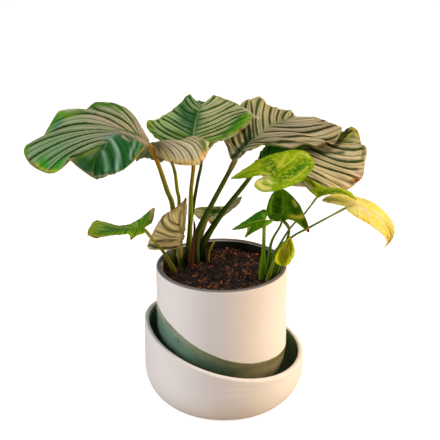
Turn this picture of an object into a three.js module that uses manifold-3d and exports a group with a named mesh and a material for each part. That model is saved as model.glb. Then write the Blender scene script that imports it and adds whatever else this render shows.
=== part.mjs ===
// A round-leaf calathea in a cylindrical pot that stands in a bowl-shaped saucer with a slanted rim.
// An arrowhead vine grows in the same pot, at its right.
// Millimetres, +Z up. The origin is the centre of the saucer's flat base, and the plant faces -Y.

import * as THREE from 'three';
import { mergeVertices } from 'three/addons/utils/BufferGeometryUtils.js';
import Module from 'manifold-3d';

const wasm = await Module();
wasm.setup();

// Clearance between pieces that touch
const gap = 0.3;

// Saucer
const saucerRadius = 98.5;
const saucerBaseRadius = 55;
const saucerBowlHeight = 50;
const saucerWall = 6.5;
const saucerFloor = 7;
const saucerInnerBaseRadius = 56;
const saucerRim = 90;
// The rim falls to the right, and dips towards the front from the middle on
const rimFall = 0.24;
const rimDip = 0.065;
const rimDipStart = 20;
const slantStart = 52;

// Pot
const potX = -3;
const potRadius = 80;
const potWall = 7;
const potTop = 182;
const potBaseRadius = 32;
const potBowlHeight = 76;
const potFloor = 6;
const potInnerBaseRadius = 28;
const drainRadius = 8;
const potBottom = saucerFloor + gap;

// Rounded lip of the pot and of the saucer
const lipHeight = 2.5;
const lipSteps = 4;

// Soil: the rings of its mounded top are shares of its radius
const soilTop = 171;
const soilMound = 2;
const moundRings = [1, 0.7, 0.35, 0];
const stalkDepth = 20;

// Blades
const bladeThickness = 0.9;
const midribDepth = 1.6;
const vineMidribDepth = 0.8;
// Lateral veins: how far each one bows forward and outward on its way to the margin, and how
// far its foot on the midrib lags behind its end on the margin
const veinBow = 0.3;
const veinReach = 0.55;
const veinLag = 0.15;
const calatheaColumns = [0, 0.07, 0.5, 1];
const vineColumns = [0, 0.5, 1];

// Smoothness
const roundSteps = 36;
const bowlSteps = 6;
const stalkSides = 6;
const weldDistance = 1e-3;

// Colours as seen on the surfaces
const colours = {
  glaze: 0xe9e4dd, saucer: 0xe6e1da, soil: 0x2e1d14, leaf: 0x5f8a4c, leafTan: 0xb59a63,
  stalk: 0x6e7322, stalkWarm: 0x9a6f1e, dry: 0x4a2018, vine: 0x6f9a2a, vineDark: 0x2f6a1f,
  vineYellow: 0xd9cf4f,
};

// Calathea blades: the midrib and both margins from base to tip, and the arch of each half
// at base, middle and tip as a share of its width. Left and right are seen from above the base.
const calatheaBlades = [
  { name: 'leaf_left', rows: 30, face: [-0.2, -0.3, 1], lift: [[0.25, 0.3, 0.3], [0.2, 0.2, 0.25]],
    rib: [[-89, -10, 342], [-103, -22, 358], [-116, -38, 369], [-127, -62, 373], [-137, -95, 364],
      [-143, -122, 341]],
    left: [[-90, -13, 341], [-91, -36, 344], [-96, -62, 350], [-102, -92, 352], [-115, -115, 349],
      [-129, -122, 346], [-143, -122, 341]],
    right: [[-89, -4, 345], [-100, 14, 352], [-113, 32, 361], [-128, 50, 370], [-152, 55, 372],
      [-174, 45, 362], [-197, 25, 370], [-215, 5, 346], [-234, -20, 343], [-227, -45, 331],
      [-202, -75, 330], [-186, -86, 339], [-178, -90, 353], [-163, -106, 348], [-151, -116, 343],
      [-143, -122, 341]] },
  { name: 'leaf_inner', rows: 18, face: [0, -0.2, 1], lift: [[0.3, 0.3, 0.3], [0.35, 0.35, 0.35]],
    rib: [[-85, 8, 337], [-69, -4, 345], [-52, -14, 348], [-35, -22, 356], [-18, -30, 352]],
    left: [[-86, 14, 334], [-98, 22, 324], [-107, 34, 304], [-95, 37, 307], [-82, 38, 301],
      [-68, 36, 304], [-48, 26, 316], [-30, 4, 334], [-18, -30, 352]],
    right: [[-86, 8, 334], [-83, 7, 324], [-71, -10, 322], [-56, -38, 327], [-40, -55, 332],
      [-26, -60, 337], [-19, -48, 346], [-18, -30, 352]] },
  { name: 'leaf_centre', rows: 26, face: [0, -0.3, 1],
    lift: [[-0.1, -0.12, -0.1], [-0.1, -0.12, -0.1]],
    rib: [[-38, 28, 320], [-37, 50, 331], [-35, 74, 340], [-31, 98, 345], [-28, 122, 346],
      [-26, 135, 345]],
    left: [[-39, 26, 322], [-58, 32, 322], [-80, 42, 329], [-91, 50, 336], [-94, 60, 345],
      [-81, 80, 342], [-69, 94, 345], [-57, 110, 349], [-45, 126, 357], [-35, 132, 348],
      [-26, 135, 345]],
    right: [[-35, 26, 320], [-26, 28, 307], [-18, 36, 317], [-9, 46, 324], [4, 54, 325],
      [22, 66, 332], [33, 74, 341], [34, 82, 348], [22, 97, 352], [9, 110, 354], [-5, 122, 356],
      [-15, 130, 354], [-21, 134, 345], [-26, 135, 345]] },
  { name: 'leaf_right_upper', rows: 28, face: [-0.1, -0.3, 1],
    lift: [[-0.05, -0.1, -0.05], [0.15, 0.2, 0.15]],
    rib: [[15, 50, 301], [32, 66, 315], [51, 84, 324], [70, 106, 328], [91, 132, 326]],
    left: [[13, 48, 300], [8, 50, 300], [4, 62, 310], [0, 74, 317], [9, 94, 332], [22, 112, 351],
      [34, 122, 353], [45, 130, 353], [57, 134, 341], [70, 137, 335], [84, 138, 332],
      [91, 132, 326]],
    right: [[16, 48, 301], [21, 44, 305], [30, 44, 313], [39, 46, 316], [60, 50, 322],
      [68, 48, 317], [83, 48, 314], [99, 52, 319], [113, 56, 314], [125, 62, 317], [135, 68, 313],
      [146, 84, 327], [135, 104, 326], [124, 118, 328], [109, 128, 326], [91, 132, 326]] },
  { name: 'leaf_right_lower', rows: 24, face: [0.2, -0.5, 1], lift: [[0.1, 0.1, 0.1], [0.2, 0.2, 0.2]],
    rib: [[42, 70, 291], [69, 80, 297], [98, 88, 300], [126, 92, 305], [148, 92, 315],
      [158, 88, 329]],
    left: [[43, 76, 292], [47, 92, 296], [64, 112, 305], [96, 130, 306], [128, 128, 310],
      [148, 108, 315], [158, 88, 329]],
    right: [[42, 62, 290], [47, 46, 279], [74, 28, 275], [98, 18, 276], [116, 12, 278],
      [133, 10, 277], [150, 14, 275], [161, 22, 280], [169, 30, 286], [172, 44, 297],
      [175, 58, 310], [169, 68, 314], [165, 80, 326], [158, 88, 329]] },
  { name: 'leaf_low_left', rows: 18, face: [0.1, -0.3, 1], lift: [[0.1, 0.1, 0.1], [0.1, 0.1, 0.1]],
    rib: [[-96, -15, 235], [-113, -24, 239], [-130, -30, 240], [-148, -34, 240], [-163, -36, 236]],
    left: [[-96, -18, 233], [-94, -24, 234], [-104, -38, 236], [-111, -48, 235], [-112, -51, 243],
      [-125, -54, 244], [-141, -54, 242], [-152, -50, 238], [-163, -36, 236]],
    right: [[-95, -11, 236], [-87, -6, 240], [-84, 0, 256], [-95, 2, 246], [-110, 6, 234],
      [-125, 6, 230], [-140, 4, 234], [-154, -8, 243], [-162, -22, 239], [-163, -36, 236]] },
  { name: 'leaf_low_front', rows: 18, face: [0, 1, 0.1], colour: 'leafTan',
    lift: [[0.1, 0.1, 0.1], [-0.15, -0.2, -0.1]],
    rib: [[-55, 8, 201], [-50, 4, 221], [-47, 0, 245], [-46, -2, 271]],
    left: [[-53, 12, 199], [-50, 15, 207], [-48, 16, 223], [-47, 13, 241], [-46, 5, 258],
      [-46, -2, 271]],
    right: [[-56, 6, 200], [-66, 1, 200], [-81, -2, 201], [-93, -2, 204], [-92, -5, 213],
      [-87, -9, 226], [-82, -11, 237], [-74, -11, 250], [-61, -8, 258], [-51, -4, 265],
      [-46, -2, 271]] },
  { name: 'leaf_low_back', rows: 14, face: [0, -0.2, 1], lift: [[0.1, 0.1, 0.1], [0.1, 0.1, 0.1]],
    rib: [[-21, 58, 217], [-10, 70, 220], [5, 80, 225], [23, 86, 236]],
    left: [[-24, 58, 217], [-31, 58, 217], [-38, 66, 222], [-35, 74, 225], [-18, 86, 222],
      [0, 90, 221], [13, 92, 230], [23, 86, 236]],
    right: [[-20, 56, 215], [-15, 52, 213], [-5, 55, 218], [10, 66, 226], [19, 76, 230],
      [23, 86, 236]] },
  { name: 'leaf_back', rows: 12, face: [0, 0.1, 1], lift: [[0.1, 0.1, 0.1], [0.1, 0.1, 0.1]],
    rib: [[-33, 66, 306], [-42, 88, 303], [-53, 112, 298], [-64, 134, 288], [-72, 150, 277]],
    left: [[-35, 62, 305], [-52, 72, 293], [-67, 90, 288], [-77, 112, 283], [-79, 135, 277],
      [-72, 150, 277]],
    right: [[-31, 68, 306], [-21, 80, 307], [-20, 100, 305], [-30, 124, 299], [-50, 146, 287],
      [-72, 150, 277]] },
];

// Arrowhead vine blades, given the same way
const vineBlades = [
  { name: 'vine_leaf_top', rows: 20, face: [0, -0.3, 1], lift: [[0.1, 0.1, 0.1], [0.1, 0.1, 0.1]],
    rib: [[57, -30, 307], [69, -22, 314], [84, -18, 321], [97, -18, 325], [106, -20, 324]],
    left: [[56, -28, 307], [45, -24, 308], [26, -18, 302], [8, -10, 298], [19, 2, 302],
      [31, 14, 306], [46, 22, 312], [61, 26, 316], [80, 22, 322], [97, 10, 325], [106, -20, 324]],
    right: [[59, -32, 306], [51, -36, 307], [40, -40, 309], [35, -46, 303], [44, -54, 299],
      [56, -56, 300], [65, -56, 302], [79, -50, 305], [90, -44, 308], [99, -36, 314],
      [106, -26, 320], [106, -20, 324]] },
  { name: 'vine_leaf_dark', rows: 16, face: [0, -0.8, 0.6], colour: 'vineDark',
    lift: [[0.1, 0.1, 0.1], [0.1, 0.1, 0.1]],
    rib: [[70, -36, 255], [71, -30, 271], [70, -22, 281], [66, -16, 287]],
    left: [[69, -38, 255], [62, -42, 256], [54, -42, 259], [50, -38, 266], [51, -32, 273],
      [54, -27, 280], [59, -20, 285], [66, -16, 287]],
    right: [[71, -38, 255], [79, -42, 259], [90, -46, 253], [100, -44, 243], [100, -38, 249],
      [94, -32, 263], [89, -26, 272], [82, -21, 279], [73, -17, 286], [66, -16, 287]] },
  { name: 'vine_leaf_side', rows: 18, face: [0, -0.3, 1], colour: 'vineDark',
    lift: [[0.1, 0.1, 0.1], [0.1, 0.1, 0.1]],
    rib: [[47, -60, 266], [35, -63, 265], [22, -66, 261], [8, -68, 256]],
    left: [[49, -62, 264], [58, -60, 266], [53, -64, 262], [44, -68, 259], [34, -72, 255],
      [24, -74, 249], [28, -72, 256], [31, -69, 261], [21, -69, 258], [8, -68, 256]],
    right: [[49, -58, 266], [51, -52, 272], [47, -50, 275], [37, -52, 271], [27, -58, 266],
      [17, -63, 261], [8, -68, 256]] },
  { name: 'vine_leaf_small', rows: 16, face: [0, -0.3, 1], lift: [[0.1, 0.1, 0.1], [0.1, 0.1, 0.1]],
    rib: [[110, -35, 285], [122, -36, 293], [137, -37, 294], [156, -40, 283]],
    left: [[108, -34, 285], [100, -30, 291], [92, -24, 299], [94, -20, 304], [103, -22, 297],
      [111, -24, 290], [125, -22, 291], [138, -24, 291], [149, -30, 289], [156, -40, 283]],
    right: [[111, -37, 284], [117, -44, 290], [130, -46, 293], [142, -44, 291], [156, -40, 283]] },
  { name: 'vine_leaf_yellow', rows: 20, face: [0.2, -0.3, 1], colour: 'vineYellow',
    lift: [[0.1, 0.1, 0.1], [0.1, 0.1, 0.1]],
    rib: [[144, -40, 273], [156, -42, 277], [175, -46, 270], [191, -50, 254], [196, -52, 239],
      [190, -52, 226]],
    left: [[143, -37, 274], [130, -34, 275], [116, -28, 277], [126, -20, 281], [141, -14, 281],
      [156, -14, 277], [172, -22, 275], [186, -32, 269], [197, -42, 259], [201, -48, 250],
      [199, -52, 238], [190, -52, 226]],
    right: [[144, -43, 271], [148, -52, 271], [157, -58, 267], [168, -60, 261], [179, -60, 253],
      [188, -58, 244], [192, -55, 235], [190, -52, 226]] },
  { name: 'vine_leaf_young', rows: 12, face: [0, -1, 0.3], colour: 'vineYellow',
    lift: [[-0.3, -0.5, -0.3], [-0.3, -0.5, -0.3]],
    rib: [[78, -50, 240], [75, -44, 223], [72, -46, 211], [71, -54, 204]],
    left: [[77, -52, 239], [71, -56, 234], [63, -60, 225], [60, -60, 214], [65, -58, 207],
      [71, -54, 204]],
    right: [[79, -52, 239], [82, -56, 231], [83, -60, 222], [79, -60, 213], [76, -58, 207],
      [71, -54, 204]] },
];

// Stalks and sheaths, from the soil up, with the radius at the soil and at the top. A stalk
// that carries a blade runs on to the foot of that blade's midrib.
const stalks = [
  { name: 'stalk_left', blade: 'leaf_left', radii: [3.6, 3], colour: 'stalkWarm',
    path: [[-61, 18, 171], [-62, 12, 248], [-69, 6, 277], [-79, -3, 315]] },
  { name: 'stalk_inner', blade: 'leaf_inner', radii: [2.6, 2.2],
    path: [[-57, 28, 172], [-55, 26, 249], [-57, 21, 271], [-60, 16, 299], [-67, 12, 316]] },
  { name: 'stalk_centre', blade: 'leaf_centre', radii: [3.3, 2.8], colour: 'stalkWarm',
    path: [[-44, 20, 170], [-41, 20, 238], [-40, 24, 270], [-37, 28, 299]] },
  { name: 'stalk_back', blade: 'leaf_back', radii: [2.6, 2.2],
    path: [[-44, 30, 172], [-42, 31, 214], [-37, 32, 249], [-32, 40, 276], [-28, 50, 295]] },
  { name: 'stalk_right_upper', blade: 'leaf_right_upper', radii: [3.8, 3.3],
    path: [[-35, 22, 170], [-35, 24, 187], [-32, 28, 212], [-16, 38, 243], [1, 46, 274]] },
  { name: 'stalk_right_lower', blade: 'leaf_right_lower', radii: [3.8, 3.2],
    path: [[-27, 31, 172], [-25, 34, 195], [0, 46, 233], [32, 64, 270]] },
  { name: 'stalk_low_left', blade: 'leaf_low_left', radii: [2.2, 1.8],
    path: [[-60, -2, 169], [-64, -8, 183], [-74, -18, 207], [-85, -24, 224]] },
  { name: 'stalk_low_front', blade: 'leaf_low_front', radii: [3, 2.6],
    path: [[-52, 14, 171], [-54, 11, 185]] },
  { name: 'stalk_low_back', blade: 'leaf_low_back', radii: [1.8, 1.6],
    path: [[-30, 42, 174], [-30, 44, 181], [-28, 50, 197]] },
  { name: 'sheath_dry', radii: [3.2, 1.2], colour: 'dry',
    path: [[-41, 9, 171], [-39, 11, 196], [-36, 13, 219], [-37, 14, 236]] },
  { name: 'sheath_young', radii: [2.4, 0.9], colour: 'vine',
    path: [[-20, 25, 172], [-19, 27, 186], [-11, 30, 201]] },
  { name: 'vine_stalk_top', blade: 'vine_leaf_top', radii: [1.6, 1.4], colour: 'vine',
    path: [[53, -12, 176], [57, -14, 216], [69, -20, 246], [68, -5, 266], [62, -8, 290]] },
  { name: 'vine_stalk_dark', blade: 'vine_leaf_dark', radii: [2, 1.8], colour: 'vineDark',
    path: [[56, -17, 173], [67, -17, 200], [76, -20, 224], [77, -32, 243]] },
  { name: 'vine_stalk_side', blade: 'vine_leaf_side', radii: [3.2, 2.2], colour: 'vine',
    path: [[46, -19, 171], [47, -40, 218]] },
  { name: 'vine_stalk_small', blade: 'vine_leaf_small', radii: [1.4, 1.2], colour: 'vine',
    path: [[58, -11, 179], [64, -12, 205], [80, -14, 236], [96, -20, 257]] },
  { name: 'vine_stalk_yellow', blade: 'vine_leaf_yellow', radii: [1.6, 1.4], colour: 'vine',
    path: [[52, -22, 172], [60, -28, 209], [82, -29, 231], [102, -29, 243]] },
  { name: 'vine_stalk_young', blade: 'vine_leaf_young', radii: [1.5, 1.3], colour: 'vine',
    path: [[61, -22, 172], [70, -34, 205], [77, -40, 228]] },
  { name: 'vine_sheath', radii: [2.8, 0.9], colour: 'vine',
    path: [[53, -29, 172], [58, -36, 196], [66, -46, 216]] },
];

const blades = [...calatheaBlades, ...vineBlades];

const curveThrough = (points) => new THREE.CatmullRomCurve3(
  points.map((p) => new THREE.Vector3(...p)), false, 'catmullrom', 0.5);

const material = (colour, roughness = 0.6) =>
  new THREE.MeshStandardMaterial({ color: colours[colour], roughness, metalness: 0 });

// Smooth value through base, middle and tip
function threeStage([base, middle, tip], u) {
  const half = u < 0.5 ? u * 2 : u * 2 - 1;
  const eased = half * half * (3 - 2 * half);
  return u < 0.5 ? base + (middle - base) * eased : middle + (tip - middle) * eased;
}

function closedGeometry(vertices, triangles) {
  const geometry = new THREE.BufferGeometry();
  geometry.setAttribute('position', new THREE.Float32BufferAttribute(vertices, 3));
  geometry.setIndex(triangles);
  return geometry;
}

function toSolid(geometry) {
  const plain = geometry.clone();
  plain.deleteAttribute('normal');
  plain.deleteAttribute('uv');
  const welded = mergeVertices(plain, weldDistance);
  const mesh = new wasm.Mesh({
    numProp: 3,
    vertProperties: Float32Array.from(welded.getAttribute('position').array),
    triVerts: Uint32Array.from(welded.index.array),
  });
  return new wasm.Manifold(mesh);
}

function fromSolid(solid) {
  const mesh = solid.getMesh();
  return closedGeometry(Array.from(mesh.vertProperties), Array.from(mesh.triVerts));
}

// A point on one half of a blade. Side -1 is the left half and 1 the right, t runs along the
// margin from base to tip, and v from the midrib to the margin along a lateral vein.
function bladePoint(blade, side, t, v) {
  const margin = (side < 0 ? blade.leftCurve : blade.rightCurve).getPoint(t);
  const start = THREE.MathUtils.clamp(t - veinLag * Math.sin(Math.PI * t), 0, 1);
  const root = blade.ribCurve.getPointAt(start);
  const along = blade.ribCurve.getTangentAt(start);
  const reach = margin.clone().sub(root);
  const forward = along.clone().multiplyScalar(reach.dot(along));
  const across = reach.clone().sub(forward);
  const up = blade.faceVector.clone().addScaledVector(along, -blade.faceVector.dot(along));
  const lift = threeStage(blade.lift[side < 0 ? 0 : 1], t) * across.length();
  const bend = root.clone().addScaledVector(forward, veinBow).addScaledVector(across, veinReach);
  bend.addScaledVector(up.normalize(), lift);
  const point = root.multiplyScalar((1 - v) ** 2);
  return point.addScaledVector(bend, 2 * v * (1 - v)).addScaledVector(margin, v * v);
}

// A thin closed blade: its middle surface is offset both ways, with a raised midrib below.
function bladeGeometry(record, steps, ribDepth) {
  const blade = {
    ...record,
    ribCurve: curveThrough(record.rib),
    leftCurve: curveThrough(record.left),
    rightCurve: curveThrough(record.right),
    faceVector: new THREE.Vector3(...record.face),
  };
  const columns = [...steps.slice(1).reverse().map((v) => -v), ...steps];
  const rows = record.rows;
  const middle = [];
  for (let i = 0; i < rows; i += 1) {
    for (const v of columns) {
      middle.push(...bladePoint(blade, v < 0 ? -1 : 1, i / rows, Math.abs(v)).toArray());
    }
  }
  middle.push(...record.rib[record.rib.length - 1]);
  const tip = rows * columns.length;
  const at = (i, j) => (i === rows ? tip : i * columns.length + j);
  const surface = [];
  for (let i = 0; i < rows; i += 1) {
    for (let j = 0; j + 1 < columns.length; j += 1) {
      surface.push(at(i, j), at(i, j + 1), at(i + 1, j));
      if (i + 1 < rows) {
        surface.push(at(i, j + 1), at(i + 1, j + 1), at(i + 1, j));
      }
    }
  }
  const sheet = closedGeometry(middle, surface);
  sheet.computeVertexNormals();
  const place = sheet.getAttribute('position');
  const normal = sheet.getAttribute('normal');
  const count = place.count;
  const vertices = [];
  const offset = (index, distance) => {
    const point = new THREE.Vector3().fromBufferAttribute(place, index);
    const direction = new THREE.Vector3().fromBufferAttribute(normal, index);
    vertices.push(...point.addScaledVector(direction, distance).toArray());
  };
  for (let k = 0; k < count; k += 1) {
    offset(k, bladeThickness / 2);
  }
  for (let k = 0; k < count; k += 1) {
    const onRib = k < tip && columns[k % columns.length] === 0;
    offset(k, -bladeThickness / 2 - (onRib ? ribDepth * (1 - k / tip) : 0));
  }
  const triangles = [...surface];
  for (let k = 0; k < surface.length; k += 3) {
    triangles.push(surface[k] + count, surface[k + 2] + count, surface[k + 1] + count);
  }
  const edge = [];
  for (let j = 0; j + 1 < columns.length; j += 1) {
    edge.push([at(0, j), at(0, j + 1)]);
  }
  for (let i = 0; i < rows; i += 1) {
    edge.push([at(i, columns.length - 1), at(i + 1, columns.length - 1)]);
    edge.push([at(i + 1, 0), at(i, 0)]);
  }
  for (const [a, b] of edge) {
    triangles.push(a, a + count, b, b, a + count, b + count);
  }
  return closedGeometry(vertices, triangles);
}

// A tapered stalk along a curve, with flat ends
function stalkGeometry(record, extra = 0) {
  const [x, y, z] = record.path[0];
  const points = [[x, y, z - stalkDepth - extra], ...record.path];
  const carried = blades.find((blade) => blade.name === record.blade);
  if (carried) {
    points.push(carried.rib[0]);
  }
  const curve = curveThrough(points);
  const segments = points.length * 2 - 1;
  const frames = curve.computeFrenetFrames(segments, false);
  const vertices = [];
  for (let i = 0; i <= segments; i += 1) {
    const share = i / segments;
    const centre = curve.getPointAt(share);
    if (i === segments) {
      centre.addScaledVector(frames.tangents[i], extra);
    }
    const radius = record.radii[0] + (record.radii[1] - record.radii[0]) * share + extra;
    for (let k = 0; k < stalkSides; k += 1) {
      const angle = (2 * Math.PI * k) / stalkSides;
      const point = centre.clone().addScaledVector(frames.normals[i], radius * Math.cos(angle));
      vertices.push(...point.addScaledVector(frames.binormals[i], radius * Math.sin(angle)).toArray());
    }
  }
  const triangles = [];
  for (let i = 0; i < segments; i += 1) {
    for (let k = 0; k < stalkSides; k += 1) {
      const a = i * stalkSides + k;
      const b = i * stalkSides + ((k + 1) % stalkSides);
      triangles.push(a, b, a + stalkSides, b, b + stalkSides, a + stalkSides);
    }
  }
  const last = segments * stalkSides;
  for (let k = 1; k + 1 < stalkSides; k += 1) {
    triangles.push(0, k + 1, k, last, last + k, last + k + 1);
  }
  return closedGeometry(vertices, triangles);
}

// A blade cut clear of the top of the stalk that carries it. Only its largest part is kept.
function seatedBlade(record, steps, ribDepth) {
  const stalk = stalks.find((item) => item.blade === record.name);
  const cut = toSolid(bladeGeometry(record, steps, ribDepth)).subtract(toSolid(stalkGeometry(stalk, gap)));
  const parts = cut.decompose().sort((a, b) => b.volume() - a.volume());
  return fromSolid(parts[0]);
}

// Quarter-ellipse section from a flat floor up to an upright wall
function bowlSection(flatRadius, wallRadius, floor, height) {
  const points = [];
  for (let i = 0; i <= bowlSteps; i += 1) {
    const angle = (Math.PI / 2) * (i / bowlSteps);
    const radius = flatRadius + (wallRadius - flatRadius) * Math.sin(angle);
    points.push(new THREE.Vector2(radius, floor + height * (1 - Math.cos(angle))));
  }
  return points;
}

// Half-ellipse lip on top of a wall, from its outer face to its inner one
function lipSection(outerRadius, innerRadius, top) {
  const points = [];
  for (let i = 0; i <= lipSteps; i += 1) {
    const angle = Math.PI * (i / lipSteps);
    const radius = (outerRadius + innerRadius + (outerRadius - innerRadius) * Math.cos(angle)) / 2;
    points.push(new THREE.Vector2(radius, top - lipHeight * (1 - Math.sin(angle))));
  }
  return points;
}

function revolved(profile) {
  const geometry = new THREE.LatheGeometry(profile, roundSteps);
  geometry.rotateX(Math.PI / 2);
  geometry.deleteAttribute('normal');
  geometry.deleteAttribute('uv');
  return mergeVertices(geometry, weldDistance);
}

function saucerGeometry() {
  const inner = saucerRadius - saucerWall;
  const profile = [
    new THREE.Vector2(0, 0),
    ...bowlSection(saucerBaseRadius, saucerRadius, 0, saucerBowlHeight),
    ...lipSection(saucerRadius, inner, saucerRim),
    ...bowlSection(saucerInnerBaseRadius, inner, saucerFloor, saucerBowlHeight - saucerFloor).reverse(),
    new THREE.Vector2(0, saucerFloor),
  ];
  const geometry = revolved(profile);
  const place = geometry.getAttribute('position');
  for (let k = 0; k < place.count; k += 1) {
    const [x, y, z] = [place.getX(k), place.getY(k), place.getZ(k)];
    const share = THREE.MathUtils.clamp((z - slantStart) / (saucerRim - lipHeight - slantStart), 0, 1);
    const slant = rimDip * (y - Math.hypot(y, rimDipStart)) - rimFall * x;
    place.setZ(k, z + share * slant);
  }
  return geometry;
}

function potGeometry() {
  const inner = potRadius - potWall;
  const profile = [
    new THREE.Vector2(drainRadius, 0),
    ...bowlSection(potBaseRadius, potRadius, 0, potBowlHeight),
    ...lipSection(potRadius, inner, potTop - potBottom),
    ...bowlSection(potInnerBaseRadius, inner, potFloor, potBowlHeight - potFloor).reverse(),
    new THREE.Vector2(drainRadius, potFloor),
    new THREE.Vector2(drainRadius, 0),
  ];
  return revolved(profile);
}

function soilGeometry() {
  const inner = potRadius - potWall - gap;
  const floor = potBottom + potFloor + gap;
  const profile = [
    new THREE.Vector2(0, floor),
    ...bowlSection(potInnerBaseRadius - gap, inner, floor, potBowlHeight - potFloor),
    ...moundRings.map((share) => new THREE.Vector2(inner * share, soilTop + soilMound * (1 - share ** 2))),
  ];
  const geometry = revolved(profile);
  geometry.translate(potX, 0, 0);
  let solid = toSolid(geometry);
  for (const record of stalks) {
    solid = solid.subtract(toSolid(stalkGeometry(record, gap)));
  }
  return fromSolid(solid);
}

const plant = new THREE.Group();

function addPiece(name, geometry, colour, roughness) {
  const piece = new THREE.Mesh(geometry, material(colour, roughness));
  piece.name = name;
  plant.add(piece);
  return piece;
}

addPiece('saucer', saucerGeometry(), 'saucer', 0.5);
addPiece('pot', potGeometry(), 'glaze', 0.4).position.set(potX, 0, potBottom);
addPiece('soil', soilGeometry(), 'soil', 0.95);
for (const record of stalks) {
  addPiece(record.name, stalkGeometry(record), record.colour ?? 'stalk');
}
for (const record of calatheaBlades) {
  addPiece(record.name, seatedBlade(record, calatheaColumns, midribDepth), record.colour ?? 'leaf');
}
for (const record of vineBlades) {
  addPiece(record.name, seatedBlade(record, vineColumns, vineMidribDepth), record.colour ?? 'vine');
}

export default plant;
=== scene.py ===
"""Potted round-leaf calathea: the finish of every surface and the fine forms of the leaves.

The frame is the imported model. Everything here is in its place, in metres, with +Z up. Routes,
margins and midribs are written in millimetres, and strokes on the leaves as spots of the photo.
"""

import math
import random

import bmesh
import bpy
import numpy as np
from mathutils import Matrix, Vector, noise


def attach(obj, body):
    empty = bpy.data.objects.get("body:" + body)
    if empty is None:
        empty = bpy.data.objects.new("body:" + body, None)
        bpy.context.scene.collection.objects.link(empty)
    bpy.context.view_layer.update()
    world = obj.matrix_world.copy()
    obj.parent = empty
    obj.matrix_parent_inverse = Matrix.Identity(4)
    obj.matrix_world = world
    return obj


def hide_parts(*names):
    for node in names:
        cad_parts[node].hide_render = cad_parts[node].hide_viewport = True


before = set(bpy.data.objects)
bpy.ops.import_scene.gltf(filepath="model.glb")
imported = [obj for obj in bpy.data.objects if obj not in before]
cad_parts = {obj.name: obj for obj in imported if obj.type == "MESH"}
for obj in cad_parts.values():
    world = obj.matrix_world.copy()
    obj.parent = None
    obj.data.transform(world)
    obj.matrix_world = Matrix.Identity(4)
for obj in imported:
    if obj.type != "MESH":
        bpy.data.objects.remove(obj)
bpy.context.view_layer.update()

bl_info = {
    "name": "Potted round-leaf calathea",
    "version": (1, 0, 0),
    "blender": (4, 5, 0),
    "location": "3D View > Sidebar > Plant",
    "description": "Leaves, stalks, soil, pot and saucer of a potted calathea",
    "category": "Object",
}

MM = 0.001

# Sizes in millimetres, and the shares that bend the side veins, that the frame has too
POT_X = -3
POT_BOTTOM = 7.3
POT_TOP = 182
POT_OUTER = 80
POT_INNER = 73
POT_BEND = 76
POT_FLAT = 32
POT_WELL_FLAT = 28
POT_FLOOR = 6
DRAIN_RADIUS = 8
LIP_HEIGHT = 2.5
GLAZE_LINE = (94, -0.38, 0.0022)
SAUCER_OUTER = 98.5
SAUCER_INNER = 92
SAUCER_TOP = 90
SAUCER_BEND = 50
SAUCER_FLAT = 55
SAUCER_WELL_FLAT = 56
SAUCER_FLOOR = 7
SADDLE = dict(fall=0.24, dip=0.065, dip_start=20, start=52)
SOIL_RADIUS = 72.7
SOIL_TOP = 171
SOIL_MOUND = 2
SOIL_FOOT = 6.3
SOIL_FLAT = 27.7
SOIL_BEND = 70
VEIN_BOW = 0.3
VEIN_REACH = 0.55
VEIN_LAG = 0.15

# Counts and sizes of fine forms, in millimetres where they are lengths
RIB_POINTS = 160
EDGE_POINTS = 400
RIB_BLEND = 0.08
STROKE_POINTS = 12
STROKE_STRENGTH = 0.95
RIPPLES = 6
STALK_STEPS = 90
STALK_DEPTH = 12
THICK_STALK = 2.5
SOIL_TILT = 0.35
FIBRE_STEPS = 8

# The stage and its camera in millimetres, and the photo that the camera matches in pixels
CAMERA_AIM = (-5, 0, 240.2)
CAMERA_DISTANCE = 2000
CAMERA_PITCH = math.radians(23)
CAMERA_AHEAD = np.array([0, math.cos(CAMERA_PITCH), -math.sin(CAMERA_PITCH)])
CAMERA_UP = np.array([0, math.sin(CAMERA_PITCH), math.cos(CAMERA_PITCH)])
CAMERA_LENS = 135.2
CAMERA_SENSOR = 36
PHOTO_MIDDLE = 220
PHOTO_FOCUS = 1652.3
PHOTO_ROWS = 301
PHOTO_COLUMNS = 81
FLOOR_STEP = 400
FLOOR_RINGS = 15
FLOOR_THICKNESS = 5

# Place and size of each light in metres, its colour, and the point that all of them face
LIGHTS = {
    "cool": ((-1.65, -0.9, 0.9), (1.0, 1.5), (0.9, 0.93, 1.0)),
    "warm": ((1.9, -0.22, 0.85), (1.0, 1.5), (1.0, 0.81, 0.6)),
    "top": ((0.0, 0.4, 2.2), (1.8, 1.4), (1.0, 0.99, 0.97)),
}
LIGHT_AIM = (0, 0, 0.2)


def seen(red, green, blue):
    """A colour given as it is seen, 0 to 255, as a linear colour with alpha."""
    values = [value / 255 for value in (red, green, blue)]
    linear = [v / 12.92 if v <= 0.04045 else ((v + 0.055) / 1.055) ** 2.4 for v in values]
    return (*linear, 1.0)


# Blades. The midrib and both margins run from base to tip, and left and right are as seen from
# above the base. Each half has its arch at base, middle and tip, its dark bands, and the colours
# between and on the bands. These colours are partly painted light: beige on halves that face the
# warm light, silvery on halves that face the cool light, and darker on halves in shade. A place on
# a blade is (t, v), with t along the margin and v across, left half negative. A band is (t at the
# midrib, halfway and at the margin, half width), or is traced.
# A tint and a stroke are (colour, radius, cover, places), a spot or a line. Cover says how far it
# hides the bands. The places of a tint are on the blade, and those of a stroke are spots of the
# photo. A brown spot is (t, v, radius).

def half(lift, ground, band, bands):
    return dict(lift=lift, bands=bands, ground=seen(*ground), band=seen(*band))


def traced(width, *spots):
    """A band traced through spots of the photo, with its half width in millimetres."""
    return dict(width=width, spots=spots)


def alike(lift, bands, *colours):
    """Both halves of a blade, with one arch and one set of bands, and two colours for each."""
    return tuple(half(lift, ground, band, bands) for ground, band in colours)


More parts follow.
